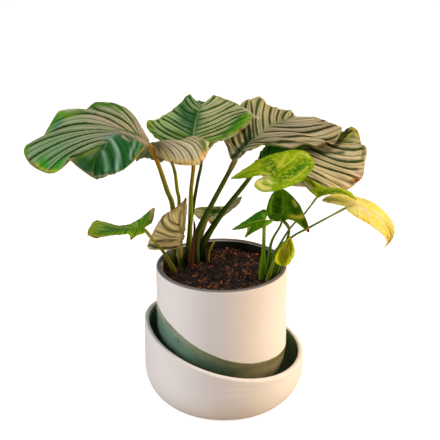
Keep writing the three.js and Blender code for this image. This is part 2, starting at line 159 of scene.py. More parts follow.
def even_bands(first, last, count, lag, width):
    """Evenly spaced bands that lag behind towards the midrib."""
    places = [first + (last - first) * k / (count - 1) for k in range(count)]
    shifts = [lag * math.sin(math.pi * place) ** 0.7 for place in places]
    return [(at, at + 0.7 * shift, at + shift, width) for at, shift in zip(places, shifts)]


CALATHEA_BLADES = {
    "leaf_left": dict(
        face=(-0.2, -0.3, 1),
        rib=[(-89, -10, 342), (-103, -22, 358), (-116, -38, 369), (-127, -62, 373), (-137, -95, 364),
            (-143, -122, 341)],
        left=[(-90, -13, 341), (-91, -36, 344), (-96, -62, 350), (-102, -92, 352), (-115, -115, 349),
            (-129, -122, 346), (-143, -122, 341)],
        right=[(-89, -4, 345), (-100, 14, 352), (-113, 32, 361), (-128, 50, 370), (-152, 55, 372),
            (-174, 45, 362), (-197, 25, 370), (-215, 5, 346), (-234, -20, 343), (-227, -45, 331),
            (-202, -75, 330), (-186, -86, 339), (-178, -90, 353), (-163, -106, 348), (-151, -116, 343),
            (-143, -122, 341)],
        halves=(
            # The near half's dark colours are painted shade, and the far half's pale ground holds a painted
            # sheen.
            half((0.25, 0.3, 0.3), (28, 96, 44), (10, 66, 12), even_bands(0.11, 0.93, 8, -0.08, 0.8)),
            half((0.2, 0.2, 0.25), (172, 174, 132), (30, 64, 6), [
                (0.22, 0.25, 0.24, 1.5),
                traced(1.5, (134.5, 129.5), (122, 118.7), (103, 109.4), (96, 108.4)),
                traced(1.9, (126, 129), (111, 119.5), (92, 115), (75, 114.5)),
                traced(1.9, (121, 129.3), (100, 124.3), (75, 123.8), (57, 129)),
                traced(1.9, (108, 130), (80, 130.5), (65, 133.5), (50, 137.6)),
                traced(1.8, (103, 131.5), (77, 136), (57, 142.4), (37, 154)),
                traced(1.4, (106, 134.5), (80, 142.5), (62, 148), (52, 160)),
                (0.73, 0.67, 0.66, 1.6), (0.77, 0.82, 0.79, 2.4)])),
        zone=(76, 108, 24), rib_colour=(128, 128, 96),
        tints=[
            ((118, 152, 104), 46, 0, (0.62, 0.8)),
            ((196, 172, 152), 14, 0.6, (0.1, 0.3))],
        brown=[(0.72, 1.0, 1.4), (0.46, 0.99, 1.2)]),
    "leaf_inner": dict(
        face=(0, -0.2, 1),
        rib=[(-85, 8, 337), (-69, -4, 345), (-52, -14, 348), (-35, -22, 356), (-18, -30, 352)],
        left=[(-86, 14, 334), (-98, 22, 324), (-107, 34, 304), (-95, 37, 307), (-82, 38, 301),
            (-68, 36, 304), (-48, 26, 316), (-30, 4, 334), (-18, -30, 352)],
        right=[(-86, 8, 334), (-83, 7, 324), (-71, -10, 322), (-56, -38, 327), (-40, -55, 332),
            (-26, -60, 337), (-19, -48, 346), (-18, -30, 352)],
        halves=(
            half((0.3, 0.3, 0.3), (110, 122, 70), (42, 62, 10), even_bands(0.02, 0.94, 8, 0.34, 1)),
            half((0.35, 0.35, 0.35), (240, 218, 180), (146, 142, 92), [
                traced(1.5, (152, 139.5), (168, 148.5), (175, 160)),
                traced(0.7, (167, 142), (179, 151), (184, 162)),
                traced(1.7, (172, 141), (187, 149.5), (192, 160)),
                traced(0.9, (183, 140.5), (193, 145.5), (198, 154)),
                traced(1.2, (191, 140), (199.5, 146), (203, 154))])),
        zone=(196, 176, 92), rib_colour=(190, 178, 146),
        brown=[(0.38, 1.0, 1.6), (0.72, 1.0, 1.8)]),
    "leaf_centre": dict(
        face=(0, -0.3, 1),
        rib=[(-38, 28, 320), (-37, 50, 331), (-35, 74, 340), (-31, 98, 345), (-28, 122, 346),
            (-26, 135, 345)],
        left=[(-39, 26, 322), (-58, 32, 322), (-80, 42, 329), (-91, 50, 336), (-94, 60, 345),
            (-81, 80, 342), (-69, 94, 345), (-57, 110, 349), (-45, 126, 357), (-35, 132, 348),
            (-26, 135, 345)],
        right=[(-35, 26, 320), (-26, 28, 307), (-18, 36, 317), (-9, 46, 324), (4, 54, 325), (22, 66, 332),
            (33, 74, 341), (34, 82, 348), (22, 97, 352), (9, 110, 354), (-5, 122, 356), (-15, 130, 354),
            (-21, 134, 345), (-26, 135, 345)],
        halves=(
            half((-0.1, -0.12, -0.1), (164, 188, 126), (24, 78, 14), [
                traced(2, (170, 140.5), (158, 135), (151, 130.5)),
                traced(1.2, (181, 139.5), (165, 132.3), (153.5, 123)),
                traced(2.6, (189, 138.5), (170, 131), (157.5, 120.8)),
                traced(1.3, (192, 135), (177, 126.5), (161, 117.3)),
                traced(2.6, (193, 130.5), (180, 124), (165, 115.5)),
                traced(1.5, (194, 122.5), (183, 117.7), (173, 109.5)),
                traced(2.2, (195.5, 114.5), (187.5, 111), (180.5, 104)),
                traced(1.5, (197, 111), (189.5, 106.5), (184.5, 100)),
                traced(1.8, (198.5, 107.5), (194, 103.5), (190, 98))]),
            half((-0.1, -0.12, -0.1), (190, 190, 140), (44, 84, 10), [
                (0.22, 0.39, 0.5, 1.6), (0.28, 0.48, 0.52, 1.6), (0.34, 0.53, 0.54, 1.6),
                (0.43, 0.57, 0.56, 1.3),
                traced(1.5, (198, 126), (215, 118.8), (242, 108)),
                traced(1.8, (199, 119.5), (214, 114.5), (236, 103.5)),
                traced(2.2, (200.5, 111.5), (214, 107.3), (227, 100.5)),
                traced(1.4, (201.5, 106.5), (208, 102.8), (213, 98))])),
        zone=(104, 132, 40), rib_colour=(132, 140, 88),
        tints=[
            # A bluish green patch of painted sheen near the midrib.
            ((80, 122, 88), 16, 0.2, (0.6, -0.15)),
            ((150, 172, 118), 18, 0, (0.8, -0.6))],
        brown=[(0.38, 0.99, 1.6), (0.35, -0.99, 0.7)]),
    "leaf_right_upper": dict(
        face=(-0.1, -0.3, 1),
        rib=[(15, 50, 301), (32, 66, 315), (51, 84, 324), (70, 106, 328), (91, 132, 326)],
        left=[(13, 48, 300), (8, 50, 300), (4, 62, 310), (0, 74, 317), (9, 94, 332), (22, 112, 351),
            (34, 122, 353), (45, 130, 353), (57, 134, 341), (70, 137, 335), (84, 138, 332), (91, 132, 326)],
        right=[(16, 48, 301), (21, 44, 305), (30, 44, 313), (39, 46, 316), (60, 50, 322), (68, 48, 317),
            (83, 48, 314), (99, 52, 319), (113, 56, 314), (125, 62, 317), (135, 68, 313), (146, 84, 327),
            (135, 104, 326), (124, 118, 328), (109, 128, 326), (91, 132, 326)],
        halves=(
            half((-0.05, -0.1, -0.05), (186, 178, 140), (66, 84, 22), [
                traced(1.4, (240, 150), (236, 146), (232, 138.5)),
                traced(2.8, (247, 144.5), (244, 139), (243, 131)),
                traced(1.5, (254.5, 139), (253, 124), (251, 104)),
                traced(2.6, (258, 136), (255.5, 115), (260, 100.5)),
                traced(1.3, (264, 130.5), (262.7, 113), (266, 103)),
                traced(2.2, (270.5, 127), (269.5, 115), (272.5, 106)),
                traced(1.3, (277.5, 123.5), (276.6, 116), (279, 109.6)),
                traced(2.2, (283, 121.5), (283.2, 116), (287, 110.8)),
                traced(1.1, (288, 120.3), (290.5, 117), (293, 114.5))]),
            half((0.15, 0.2, 0.15), (180, 170, 132), (52, 52, 10), [
                traced(1.8, (250, 146), (262, 144), (276, 145.5)),
                (0.35, 0.42, 0.5, 1.5), (0.4, 0.56, 0.71, 1.8),
                traced(1.8, (267, 130.5), (295, 131.3), (332, 127.7)),
                (0.69, 0.71, 0.8, 1.4), (0.76, 0.76, 0.86, 1.9), (0.83, 0.85, 0.9, 1)])),
        zone=(110, 104, 50), rib_colour=(150, 148, 90),
        tints=[
            ((184, 172, 134), 22, 0, (0.85, -0.5)),
            ((192, 176, 146), 26, 0, (0.8, 0.5))],
        brown=[(0.61, 0.99, 1.4), (0.5, -0.99, 1.0)]),
    "leaf_right_lower": dict(
        face=(0.2, -0.5, 1), under=0.3,
        rib=[(42, 70, 291), (69, 80, 297), (98, 88, 300), (126, 92, 305), (148, 92, 315), (158, 88, 329)],
        left=[(43, 76, 292), (47, 92, 296), (64, 112, 305), (96, 130, 306), (128, 128, 310),
            (148, 108, 315), (158, 88, 329)],
        right=[(42, 62, 290), (47, 46, 279), (74, 28, 275), (98, 18, 276), (116, 12, 278), (133, 10, 277),
            (150, 14, 275), (161, 22, 280), (169, 30, 286), (172, 44, 297), (175, 58, 310), (169, 68, 314),
            (165, 80, 326), (158, 88, 329)],
        halves=(
            half((0.1, 0.1, 0.1), (150, 150, 66), (28, 110, 4), even_bands(0.04, 0.96, 9, 0.3, 1.2)),
            half((0.2, 0.2, 0.2), (230, 210, 160), (60, 74, 12), [
                traced(1.3, (303, 174.5), (307.5, 176.3), (315, 180), (321, 183)),
                traced(1.7, (312.4, 170.9), (322, 175.9), (332, 181.2), (345, 188)),
                traced(1.8, (315.2, 163), (335, 171.2), (355, 175.3)),
                traced(1.1, (312.4, 155.1), (335, 164.6), (360, 169.3)),
                traced(2.4, (312, 149), (330, 157), (350, 162), (362, 160.5)),
                traced(2.2, (330, 145), (342, 148), (350, 149.8), (359, 148.4)),
                traced(1.1, (340, 140.5), (346, 141.5), (352, 142.3))])),
        zone=(150, 140, 66), rib_colour=(150, 148, 84),
        tints=[
            ((128, 130, 56), 16, 0.3, (0.9, 0.3))],
        brown=[(0.55, 0.99, 3.2), (0.92, 1.0, 1.8)]),
    "leaf_low_left": dict(
        face=(0.1, -0.3, 1), relief=0.3,
        rib=[(-96, -15, 235), (-113, -24, 239), (-130, -30, 240), (-148, -34, 240), (-163, -36, 236)],
        left=[(-96, -18, 233), (-94, -24, 234), (-104, -38, 236), (-111, -48, 235), (-112, -51, 243),
            (-125, -54, 244), (-141, -54, 242), (-152, -50, 238), (-163, -36, 236)],
        right=[(-95, -11, 236), (-87, -6, 240), (-84, 0, 256), (-95, 2, 246), (-110, 6, 234),
            (-125, 6, 230), (-140, 4, 234), (-154, -8, 243), (-162, -22, 239), (-163, -36, 236)],
        halves=(
            half((0.1, 0.1, 0.1), (130, 180, 40), (56, 120, 6), even_bands(0.13, 0.9, 8, 0.1, 0.7)),
            half((0.1, 0.1, 0.1), (156, 192, 76), (50, 106, 6), even_bands(0.06, 0.95, 8, 0.3, 0.7))),
        zone=(140, 160, 30), rib_colour=(104, 136, 36),
        brown=[(0.85, -1.0, 1.8), (0.35, -1.0, 2.4), (0.97, 0.98, 1.4)]),
    "leaf_low_front": dict(
        face=(0, 1, 0.1), slot="calathea_underside", relief=0.9, under=0,
        rib=[(-55, 8, 201), (-50, 4, 221), (-47, 0, 245), (-46, -2, 271)],
        left=[(-53, 12, 199), (-50, 15, 207), (-48, 16, 223), (-47, 13, 241), (-46, 5, 258),
            (-46, -2, 271)],
        right=[(-56, 6, 200), (-66, 1, 200), (-81, -2, 201), (-93, -2, 204), (-92, -5, 213), (-87, -9, 226),
            (-82, -11, 237), (-74, -11, 250), (-61, -8, 258), (-51, -4, 265), (-46, -2, 271)],
        halves=(
            half((0.1, 0.1, 0.1), (96, 112, 40), (20, 30, 2), even_bands(0.06, 0.95, 7, 0.1, 0.9)),
            half((-0.15, -0.2, -0.1), (250, 238, 180), (224, 202, 134), even_bands(0.05, 0.92, 10, 0.24, 1))),
        zone=(150, 134, 70), rib_colour=(160, 144, 80),
        brown=[(0.7, 1.0, 1.2), (0.96, 0.9, 1.4)]),
    "leaf_low_back": dict(
        face=(0, -0.2, 1), relief=0.35, under=0.2,
        rib=[(-21, 58, 217), (-10, 70, 220), (5, 80, 225), (23, 86, 236)],
        left=[(-24, 58, 217), (-31, 58, 217), (-38, 66, 222), (-35, 74, 225), (-18, 86, 222), (0, 90, 221),
            (13, 92, 230), (23, 86, 236)],
        right=[(-20, 56, 215), (-15, 52, 213), (-5, 55, 218), (10, 66, 226), (19, 76, 230), (23, 86, 236)],
        halves=(
            half((0.1, 0.1, 0.1), (232, 228, 150), (50, 96, 4), even_bands(0.16, 0.77, 4, 0.05, 0.8)),
            half((0.1, 0.1, 0.1), (255, 250, 189), (73, 125, 4), even_bands(0.06, 0.95, 6, 0.3, 0.8))),
        zone=(150, 144, 84), rib_colour=(140, 136, 70),
        brown=[(0.16, 0.95, 1.6)]),
    "leaf_back": dict(
        face=(0, 0.1, 1), relief=0.6,
        rib=[(-33, 66, 306), (-42, 88, 303), (-53, 112, 298), (-64, 134, 288), (-72, 150, 277)],
        left=[(-35, 62, 305), (-52, 72, 293), (-67, 90, 288), (-77, 112, 283), (-79, 135, 277),
            (-72, 150, 277)],
        right=[(-31, 68, 306), (-21, 80, 307), (-20, 100, 305), (-30, 124, 299), (-50, 146, 287),
            (-72, 150, 277)],
        halves=alike((0.1, 0.1, 0.1), even_bands(0.05, 0.96, 9, 0.15, 1.2),
                     ((150, 170, 110), (22, 72, 8)), ((160, 174, 112), (26, 72, 8))),
        zone=(110, 140, 50), rib_colour=(150, 152, 96),
        tints=[
            ((150, 160, 118), 20, 0, (0.5, 0.5))],
        brown=[(0.9, 0.99, 1.2)]),
}

VINE_BLADES = {
    "vine_leaf_top": dict(
        face=(0, -0.3, 1),
        rib=[(57, -30, 307), (69, -22, 314), (84, -18, 321), (97, -18, 325), (106, -20, 324)],
        left=[(56, -28, 307), (45, -24, 308), (26, -18, 302), (8, -10, 298), (19, 2, 302), (31, 14, 306),
            (46, 22, 312), (61, 26, 316), (80, 22, 322), (97, 10, 325), (106, -20, 324)],
        right=[(59, -32, 306), (51, -36, 307), (40, -40, 309), (35, -46, 303), (44, -54, 299),
            (56, -56, 300), (65, -56, 302), (79, -50, 305), (90, -44, 308), (99, -36, 314), (106, -26, 320),
            (106, -20, 324)],
        halves=alike((0.1, 0.1, 0.1), even_bands(0.08, 0.95, 7, 0.12, 0.45),
                     ((130, 166, 2), (206, 212, 14)), ((116, 158, 2), (176, 182, 6))),
        zone=(120, 156, 34), rib_colour=(112, 108, 20), mottle=0.6, mottle_colour=(204, 208, 60)),
    "vine_leaf_dark": dict(
        face=(0, -0.8, 0.6),
        rib=[(70, -36, 255), (71, -30, 271), (70, -22, 281), (66, -16, 287)],
        left=[(69, -38, 255), (62, -42, 256), (54, -42, 259), (50, -38, 266), (51, -32, 273),
            (54, -27, 280), (59, -20, 285), (66, -16, 287)],
        right=[(71, -38, 255), (79, -42, 259), (90, -46, 253), (100, -44, 243), (100, -38, 249),
            (94, -32, 263), (89, -26, 272), (82, -21, 279), (73, -17, 286), (66, -16, 287)],
        halves=alike((0.1, 0.1, 0.1), even_bands(0.08, 0.95, 5, 0.12, 0.4),
                     ((48, 90, 0), (92, 146, 2)), ((70, 118, 4), (100, 150, 2))),
        zone=(74, 112, 20), rib_colour=(112, 132, 34), mottle=0.15, mottle_colour=(110, 150, 24),
        brown=[(0.35, 1.0, 4)]),
    "vine_leaf_side": dict(
        face=(0, -0.3, 1),
        rib=[(47, -60, 266), (35, -63, 265), (22, -66, 261), (8, -68, 256)],
        left=[(49, -62, 264), (58, -60, 266), (53, -64, 262), (44, -68, 259), (34, -72, 255),
            (24, -74, 249), (28, -72, 256), (31, -69, 261), (21, -69, 258), (8, -68, 256)],
        right=[(49, -58, 266), (51, -52, 272), (47, -50, 275), (37, -52, 271), (27, -58, 266),
            (17, -63, 261), (8, -68, 256)],
        halves=alike((0.1, 0.1, 0.1), even_bands(0.08, 0.95, 5, 0.12, 0.4),
                     ((56, 102, 0), (88, 124, 4)), ((42, 84, 0), (86, 116, 2))),
        zone=(92, 126, 30), rib_colour=(120, 140, 50), mottle=0.1, mottle_colour=(120, 164, 30)),
    "vine_leaf_small": dict(
        face=(0, -0.3, 1), under=0.2,
        rib=[(110, -35, 285), (122, -36, 293), (137, -37, 294), (156, -40, 283)],
        left=[(108, -34, 285), (100, -30, 291), (92, -24, 299), (94, -20, 304), (103, -22, 297),
            (111, -24, 290), (125, -22, 291), (138, -24, 291), (149, -30, 289), (156, -40, 283)],
        right=[(111, -37, 284), (117, -44, 290), (130, -46, 293), (142, -44, 291), (156, -40, 283)],
        halves=alike((0.1, 0.1, 0.1), even_bands(0.08, 0.95, 5, 0.12, 0.4),
                     ((150, 168, 18), (196, 216, 30)), ((110, 128, 0), (94, 118, 4))),
        zone=(158, 162, 40), rib_colour=(96, 100, 14), mottle=0.25, mottle_colour=(214, 214, 90)),
    "vine_leaf_yellow": dict(
        face=(0.2, -0.3, 1), under=0.15,
        rib=[(144, -40, 273), (156, -42, 277), (175, -46, 270), (191, -50, 254), (196, -52, 239),
            (190, -52, 226)],
        left=[(143, -37, 274), (130, -34, 275), (116, -28, 277), (126, -20, 281), (141, -14, 281),
            (156, -14, 277), (172, -22, 275), (186, -32, 269), (197, -42, 259), (201, -48, 250),
            (199, -52, 238), (190, -52, 226)],
        right=[(144, -43, 271), (148, -52, 271), (157, -58, 267), (168, -60, 261), (179, -60, 253),
            (188, -58, 244), (192, -55, 235), (190, -52, 226)],
        halves=alike((0.1, 0.1, 0.1), even_bands(0.06, 0.95, 8, 0.15, 0.5),
                     ((236, 216, 104), (222, 226, 36)), ((238, 218, 102), (220, 222, 34))),
        zone=(240, 216, 130), rib_colour=(206, 190, 80), mottle=1.0, mottle_colour=(255, 222, 166)),
    "vine_leaf_young": dict(
        face=(0, -1, 0.3), under=0.1,
        rib=[(78, -50, 240), (75, -44, 223), (72, -46, 211), (71, -54, 204)],
        left=[(77, -52, 239), (71, -56, 234), (63, -60, 225), (60, -60, 214), (65, -58, 207),
            (71, -54, 204)],
        right=[(79, -52, 239), (82, -56, 231), (83, -60, 222), (79, -60, 213), (76, -58, 207),
            (71, -54, 204)],
        halves=alike((-0.3, -0.5, -0.3), even_bands(0.08, 0.95, 5, 0.1, 0.4),
                     ((226, 236, 10), (250, 250, 40)), ((234, 228, 20), (250, 246, 50))),
        zone=(150, 156, 30), rib_colour=(140, 146, 30), mottle=0.2, mottle_colour=(240, 240, 90)),
}

# Strokes on the blades, as (colour, radius, cover, spots of the photo)
STROKES = {
    "leaf_left": [
        ((70, 118, 16), 5, 0.8, (80, 112), (88, 108), (97, 104), (108, 105), (117, 106), (121, 109)),
        ((96, 146, 8), 4.5, 0.9, (60, 113.5), (66, 116), (72, 115)),
        ((56, 136, 16), 5, 0.8, (56, 118), (51, 124), (48, 129)),
        # A bluish patch of painted sheen from the cool light.
        ((70, 122, 92), 4, 0.3, (60, 124), (54, 129)),
        ((84, 140, 10), 4, 0.8, (28, 146), (27, 153)),
        ((50, 140, 6), 6, 0.85, (40, 160), (46, 166)),
        ((50, 144, 6), 6, 0.85, (58, 168), (61, 162), (55, 170)),
        ((176, 176, 40), 1.6, 0.9, (34, 162), (42, 169), (50, 171.5), (58, 171.5), (63, 166)),
        ((120, 44, 20), 1.1, 0.9, (26.5, 158), (31, 162), (38, 168.5)),
        # Pinkish beige on and near the crest is painted warm light.
        ((176, 154, 136), 6, 0.5, (117, 131.5), (124, 132), (132, 135), (140, 139), (148, 144)),
        ((150, 150, 124), 5, 0.5, (96, 137), (106, 133.5), (114, 131.5)),
        ((188, 168, 138), 7, 0.05, (97, 116), (108, 121), (118, 126)),
        # Dark green over the near half towards its tip is painted shade.
        ((14, 76, 10), 12, 0.95, (90, 165), (97, 158), (103, 150)),
        ((18, 80, 12), 6, 0.9, (84, 160), (88, 168)),
        ((14, 76, 10), 6, 0.9, (96, 170), (100, 164)),
        ((14, 80, 14), 8, 0.85, (110, 162), (108, 148)),
        ((14, 84, 24), 8, 0.85, (124, 156), (122, 144)),
        ((92, 112, 20), 3, 0.9, (74, 160), (80, 157), (88, 153), (94, 150)),
        ((122, 138, 62), 1.6, 0.9, (84, 155), (92, 151), (99, 147)),
        ((116, 92, 24), 2.4, 0.8, (71, 161), (78, 166)),
        # Pale streaks of the near half, tinted blue-grey by a painted sheen from the cool light.
        ((128, 166, 146), 2.6, 1, (110, 137), (114, 144), (117.5, 152), (118, 160), (117, 169)),
        ((110, 150, 118), 2.4, 0.9, (103, 151), (104.5, 158), (106.5, 166), (107, 170)),
        ((124, 156, 140), 1.7, 0.8, (135, 140), (133, 147), (130.5, 153), (130, 159)),
        ((90, 132, 104), 1.5, 0.7, (141, 143), (139, 148), (136, 154)),
        # Painted warm light on the crest.
        ((176, 154, 138), 3, 0.8, (124, 137), (128, 139)),
        # Painted sheen from the cool light.
        ((130, 150, 140), 4, 0.5, (104, 138), (114, 134)),
        ((172, 130, 60), 0.9, 0.8, (134, 160), (138, 155), (143, 149), (146, 146)),
        ((178, 152, 120), 1.1, 0.8, (98, 176), (106, 175), (114, 174), (122, 172)),
        ((140, 70, 40), 1.2, 0.8, (70, 161), (78, 168), (86, 173), (92, 175)),
        ((92, 76, 70), 3.2, 1, (97, 178.5)),
        # More painted shade on the near half.
        ((14, 76, 14), 7, 0.8, (80, 163), (86, 169))],
    "leaf_inner": [
        # Painted light: the lower rim glows yellow and orange as if lit through from behind.
        ((252, 214, 120), 3.4, 0.8, (166, 159), (176, 162), (188, 163), (197, 161)),
        ((240, 182, 90), 2.4, 0.8, (200, 158), (204, 153), (206, 147)),
        ((70, 118, 20), 3.5, 0.8, (203, 141), (205, 148)),
        ((206, 182, 160), 6, 0.3, (152, 141), (160, 144), (168, 147)),
        ((236, 226, 160), 4, 0.4, (160, 152), (168, 156), (176, 159)),
        ((110, 40, 20), 1.5, 0.9, (158, 159.5), (163, 160.5)),
        ((176, 110, 60), 1, 0.6, (170, 161.5), (180, 163.5), (192, 163.8))],
    "leaf_centre": [
        ((116, 156, 16), 4.5, 0.5, (149, 121), (149, 128), (152, 134)),
        ((70, 126, 14), 3.5, 0.7, (156, 137), (166, 141), (176, 142)),
        ((22, 84, 18), 7, 0.6, (196, 112), (194, 124), (192, 136)),
        ((28, 92, 40), 8, 0.3, (182, 106), (186, 118)),
        ((96, 140, 24), 5, 0.3, (176, 132), (184, 136)),
        ((150, 180, 30), 2.6, 1, (249, 114), (245, 121), (238, 128), (231, 133.5)),
        ((70, 146, 14), 3.4, 1, (246, 115), (240, 123), (233, 130)),
        # Painted shade inside the curled rim.
        ((50, 116, 12), 3, 0.8, (240, 118), (232, 127), (224, 134)),
        ((100, 150, 14), 3, 0.7, (206, 141), (214, 139), (222, 137)),
        ((150, 50, 20), 1.6, 1, (241, 128.5)),
        ((226, 214, 176), 1.4, 1, (240, 104), (246, 109), (251, 113)),
        ((150, 150, 70), 3, 0.3, (222, 98), (230, 101), (238, 104)),
        ((30, 84, 24), 2, 0.5, (170, 110), (180, 101), (188, 96))],
    "leaf_right_upper": [
        ((18, 58, 10), 5, 1, (233, 157), (238, 151), (244, 145), (250, 139)),
        ((14, 52, 8), 3.5, 1, (248, 124), (250, 131), (249, 137)),
        ((255, 244, 196), 1.5, 1, (229, 144), (233, 152)),
        ((255, 244, 196), 1.5, 1, (235, 138), (238, 146)),
        ((246, 236, 180), 1.2, 1, (242, 134), (243, 141)),
        ((168, 130, 70), 1.2, 1, (240, 128), (244, 124), (248, 119)),
        ((104, 148, 16), 4, 0.95, (256, 147), (266, 144), (276, 145)),
        ((150, 128, 96), 3, 0.8, (244, 157), (250, 153), (258, 149)),
        ((40, 52, 12), 1.5, 0.9, (276, 147), (286, 149.5), (296, 148), (306, 145.5)),
        ((40, 44, 12), 1.5, 0.9, (306, 145.5), (316, 148), (326, 147), (334, 142)),
        ((232, 222, 190), 1.3, 1, (250, 113), (255, 116), (259, 118)),
        ((140, 142, 96), 2, 0.9, (256, 139), (264, 130), (274, 123), (284, 119)),
        ((196, 184, 150), 7, 0, (300, 135), (318, 133))],
    "leaf_right_lower": [
        # Where the upper leaf shades this lobe, plain green paints over the bands, and a dark line of painted
        # shade runs under that leaf's margin.
        ((60, 190, 50), 8, 1, (259, 150), (262, 155)),
        ((50, 164, 40), 9, 1, (270, 149), (284, 148), (298, 148)),
        ((26, 64, 10), 3, 0.9, (306, 149), (318, 151), (330, 153), (342, 153)),
        ((150, 142, 54), 6, 0.8, (344, 140), (350, 134), (355, 128)),
        ((52, 58, 8), 1.5, 1, (338, 143), (345, 136), (352, 129), (356, 126)),
        ((232, 204, 84), 3, 1, (353, 123.5), (357.5, 128), (359, 134)),
        ((206, 190, 110), 1.8, 0.9, (346, 145), (352, 143), (357, 142)),
        ((96, 110, 30), 1.6, 0.9, (362, 145), (364, 150), (362, 158)),
        ((104, 60, 24), 1.6, 1, (359.5, 130)),
        ((234, 200, 170), 3.2, 0.8, (353, 172), (359, 175), (361, 170)),
        ((96, 36, 16), 2.2, 1, (353, 182), (356, 178)),
        ((160, 60, 40), 1.4, 1, (359, 178), (362, 177)),
        ((236, 216, 160), 2.6, 0.6, (322, 183), (334, 187), (346, 187)),
        ((226, 204, 60), 2.2, 1, (351, 124), (355.5, 128), (357, 136)),
        ((90, 40, 16), 1.4, 1, (357, 131)),
        ((190, 190, 60), 1.3, 1, (342, 141), (348, 136), (353, 132))],
    "leaf_low_left": [
        ((156, 172, 40), 3.5, 0.7, (96, 222), (93, 228), (90, 233)),
        ((190, 176, 70), 2, 0.9, (89, 234), (96, 236), (106, 236)),
        ((140, 90, 40), 1.3, 0.9, (92, 236), (98, 237.5)),
        # A band of painted sheen from the cool light.
        ((60, 128, 60), 4, 0.3, (104, 231), (116, 230), (128, 229)),
        ((96, 156, 8), 5, 0.8, (134, 229), (141, 229), (147, 227)),
        ((176, 168, 110), 3, 0.8, (150, 213), (153, 210)),
        ((130, 160, 30), 2.4, 0.8, (148, 222), (152, 218)),
        ((140, 176, 20), 2.4, 0.9, (131, 233), (136, 234)),
        ((90, 36, 16), 1.6, 1, (131, 238), (134, 237)),
        ((66, 136, 10), 4, 0.7, (142, 224), (147, 217), (149, 211)),
        ((206, 176, 130), 2.2, 1, (152, 210), (153, 215), (151, 219)),
        # Painted sheen from the cool light.
        ((70, 124, 70), 5, 0.6, (107, 227), (118, 229), (128, 229))],
    "leaf_low_front": [
        ((214, 196, 128), 6, 0.3, (176, 210), (182, 205)),
        ((176, 150, 84), 1.2, 0.9, (172, 214), (178, 208), (185, 203)),
        ((96, 70, 20), 1, 0.9, (171, 212), (178, 206), (185, 200)),
        ((66, 60, 16), 2, 1, (164, 215), (162, 221), (165, 227), (171, 231), (178, 232)),
        ((84, 74, 24), 1.5, 1, (169, 214), (170, 220), (174, 224), (179, 225)),
        ((96, 84, 30), 1.2, 1, (157, 232), (163, 235), (170, 237), (176, 237)),
        # A painted shadow line above the rolled lower edge, then the cream roll, partly a painted highlight.
        ((60, 60, 16), 2, 1, (159, 242), (166, 243), (172, 241)),
        ((220, 196, 140), 2.2, 1, (162, 245), (170, 244), (178, 243)),
        ((40, 44, 14), 1.5, 1, (158, 248), (166, 248.5), (176, 247)),
        ((110, 116, 90), 3, 0.9, (150, 245), (156, 246)),
        ((60, 64, 20), 1.4, 0.9, (181, 212), (180, 222), (181, 232)),
        ((150, 132, 80), 1.4, 1, (184, 206), (184, 220), (182, 234)),
        # The cream roll again, partly a painted highlight.
        ((214, 190, 150), 2, 1, (160, 243.5), (169, 243.5), (177, 243)),
        ((44, 60, 16), 1.8, 1, (150, 246.5), (158, 248), (168, 248.5), (178, 247)),
        # The painted shadow line above the roll again.
        ((60, 54, 20), 1.1, 1, (156, 240.5), (166, 240.5), (177, 240))],
    "leaf_low_back": [
        ((206, 200, 140), 4, 0.7, (196, 210), (198, 215), (203, 219)),
        ((206, 190, 130), 1.8, 0.9, (200, 207), (207, 206)),
        ((28, 100, 14), 5, 0.9, (208, 212), (214, 211), (219, 211)),
        ((220, 150, 50), 1.6, 1, (206, 219), (212, 221)),
        ((150, 60, 20), 1.3, 1, (209, 222), (213, 221)),
        ((206, 184, 156), 4, 0.9, (232, 207), (236, 202), (239, 199)),
        ((140, 96, 70), 1.4, 0.9, (240, 197), (242, 198)),
        ((24, 92, 14), 5, 1, (208, 210), (213, 210), (217, 211)),
        ((228, 190, 80), 1.6, 1, (205, 219), (209, 221), (213, 220))],
    "vine_leaf_top": [
        ((48, 104, 2), 6.5, 1, (268, 160), (273, 167), (272, 173)),
        ((60, 112, 4), 6, 1, (281, 178), (290, 174), (300, 167)),
        ((70, 124, 6), 4, 1, (306, 160), (308, 168)),
        ((84, 136, 8), 3, 1, (262, 166), (266, 170)),
        ((206, 200, 60), 2.4, 1, (286, 155), (283, 160), (280, 166)),
        ((190, 190, 50), 2.1, 1, (295, 155), (293, 160)),
        ((214, 214, 110), 1.6, 1, (299, 153), (305, 154), (309, 157)),
        ((170, 176, 40), 2, 1, (278, 157), (276, 162)),
        ((110, 104, 20), 1, 1, (275, 176), (283, 169), (292, 163), (303, 158), (312, 155)),
        ((104, 100, 16), 0.9, 1, (262, 160), (266, 168), (274, 177)),
        ((170, 186, 24), 4, 0.9, (240, 173), (250, 168), (257, 164)),
        ((96, 140, 8), 1.6, 1, (236, 178), (246, 173), (256, 171)),
        ((196, 196, 60), 3, 0.9, (262, 173), (268, 174)),
        ((222, 206, 140), 3, 1, (262, 178), (268, 177)),
        ((196, 190, 90), 4, 1, (258, 184), (264, 188)),
        ((150, 170, 40), 2, 1, (262, 183), (268, 186)),
        ((232, 220, 160), 1.6, 1, (258, 181), (262, 180)),
        ((190, 196, 60), 1.4, 1, (290, 180), (300, 174), (308, 166)),
        ((232, 224, 130), 2.8, 1, (259, 183), (264, 187), (269, 188)),
        ((236, 226, 140), 2, 1, (267, 180), (272, 183)),
        ((120, 150, 20), 0.8, 1, (263, 183), (266, 185), (270, 185)),
        ((214, 214, 80), 0.8, 1, (277, 168), (282, 160), (286, 153)),
        ((214, 214, 80), 0.8, 1, (287, 164), (295, 157), (300, 152)),
        ((206, 210, 70), 0.8, 1, (268, 171), (269, 164), (274, 158)),
        ((200, 206, 70), 1.6, 1, (240, 173), (248, 170), (256, 168))],
    "vine_leaf_dark": [
        ((16, 60, 2), 6, 1, (278, 200), (277, 210)),
        ((30, 76, 2), 5, 1, (292, 202), (296, 212)),
        ((84, 122, 16), 1.2, 1, (283, 196), (284, 206), (283, 214)),
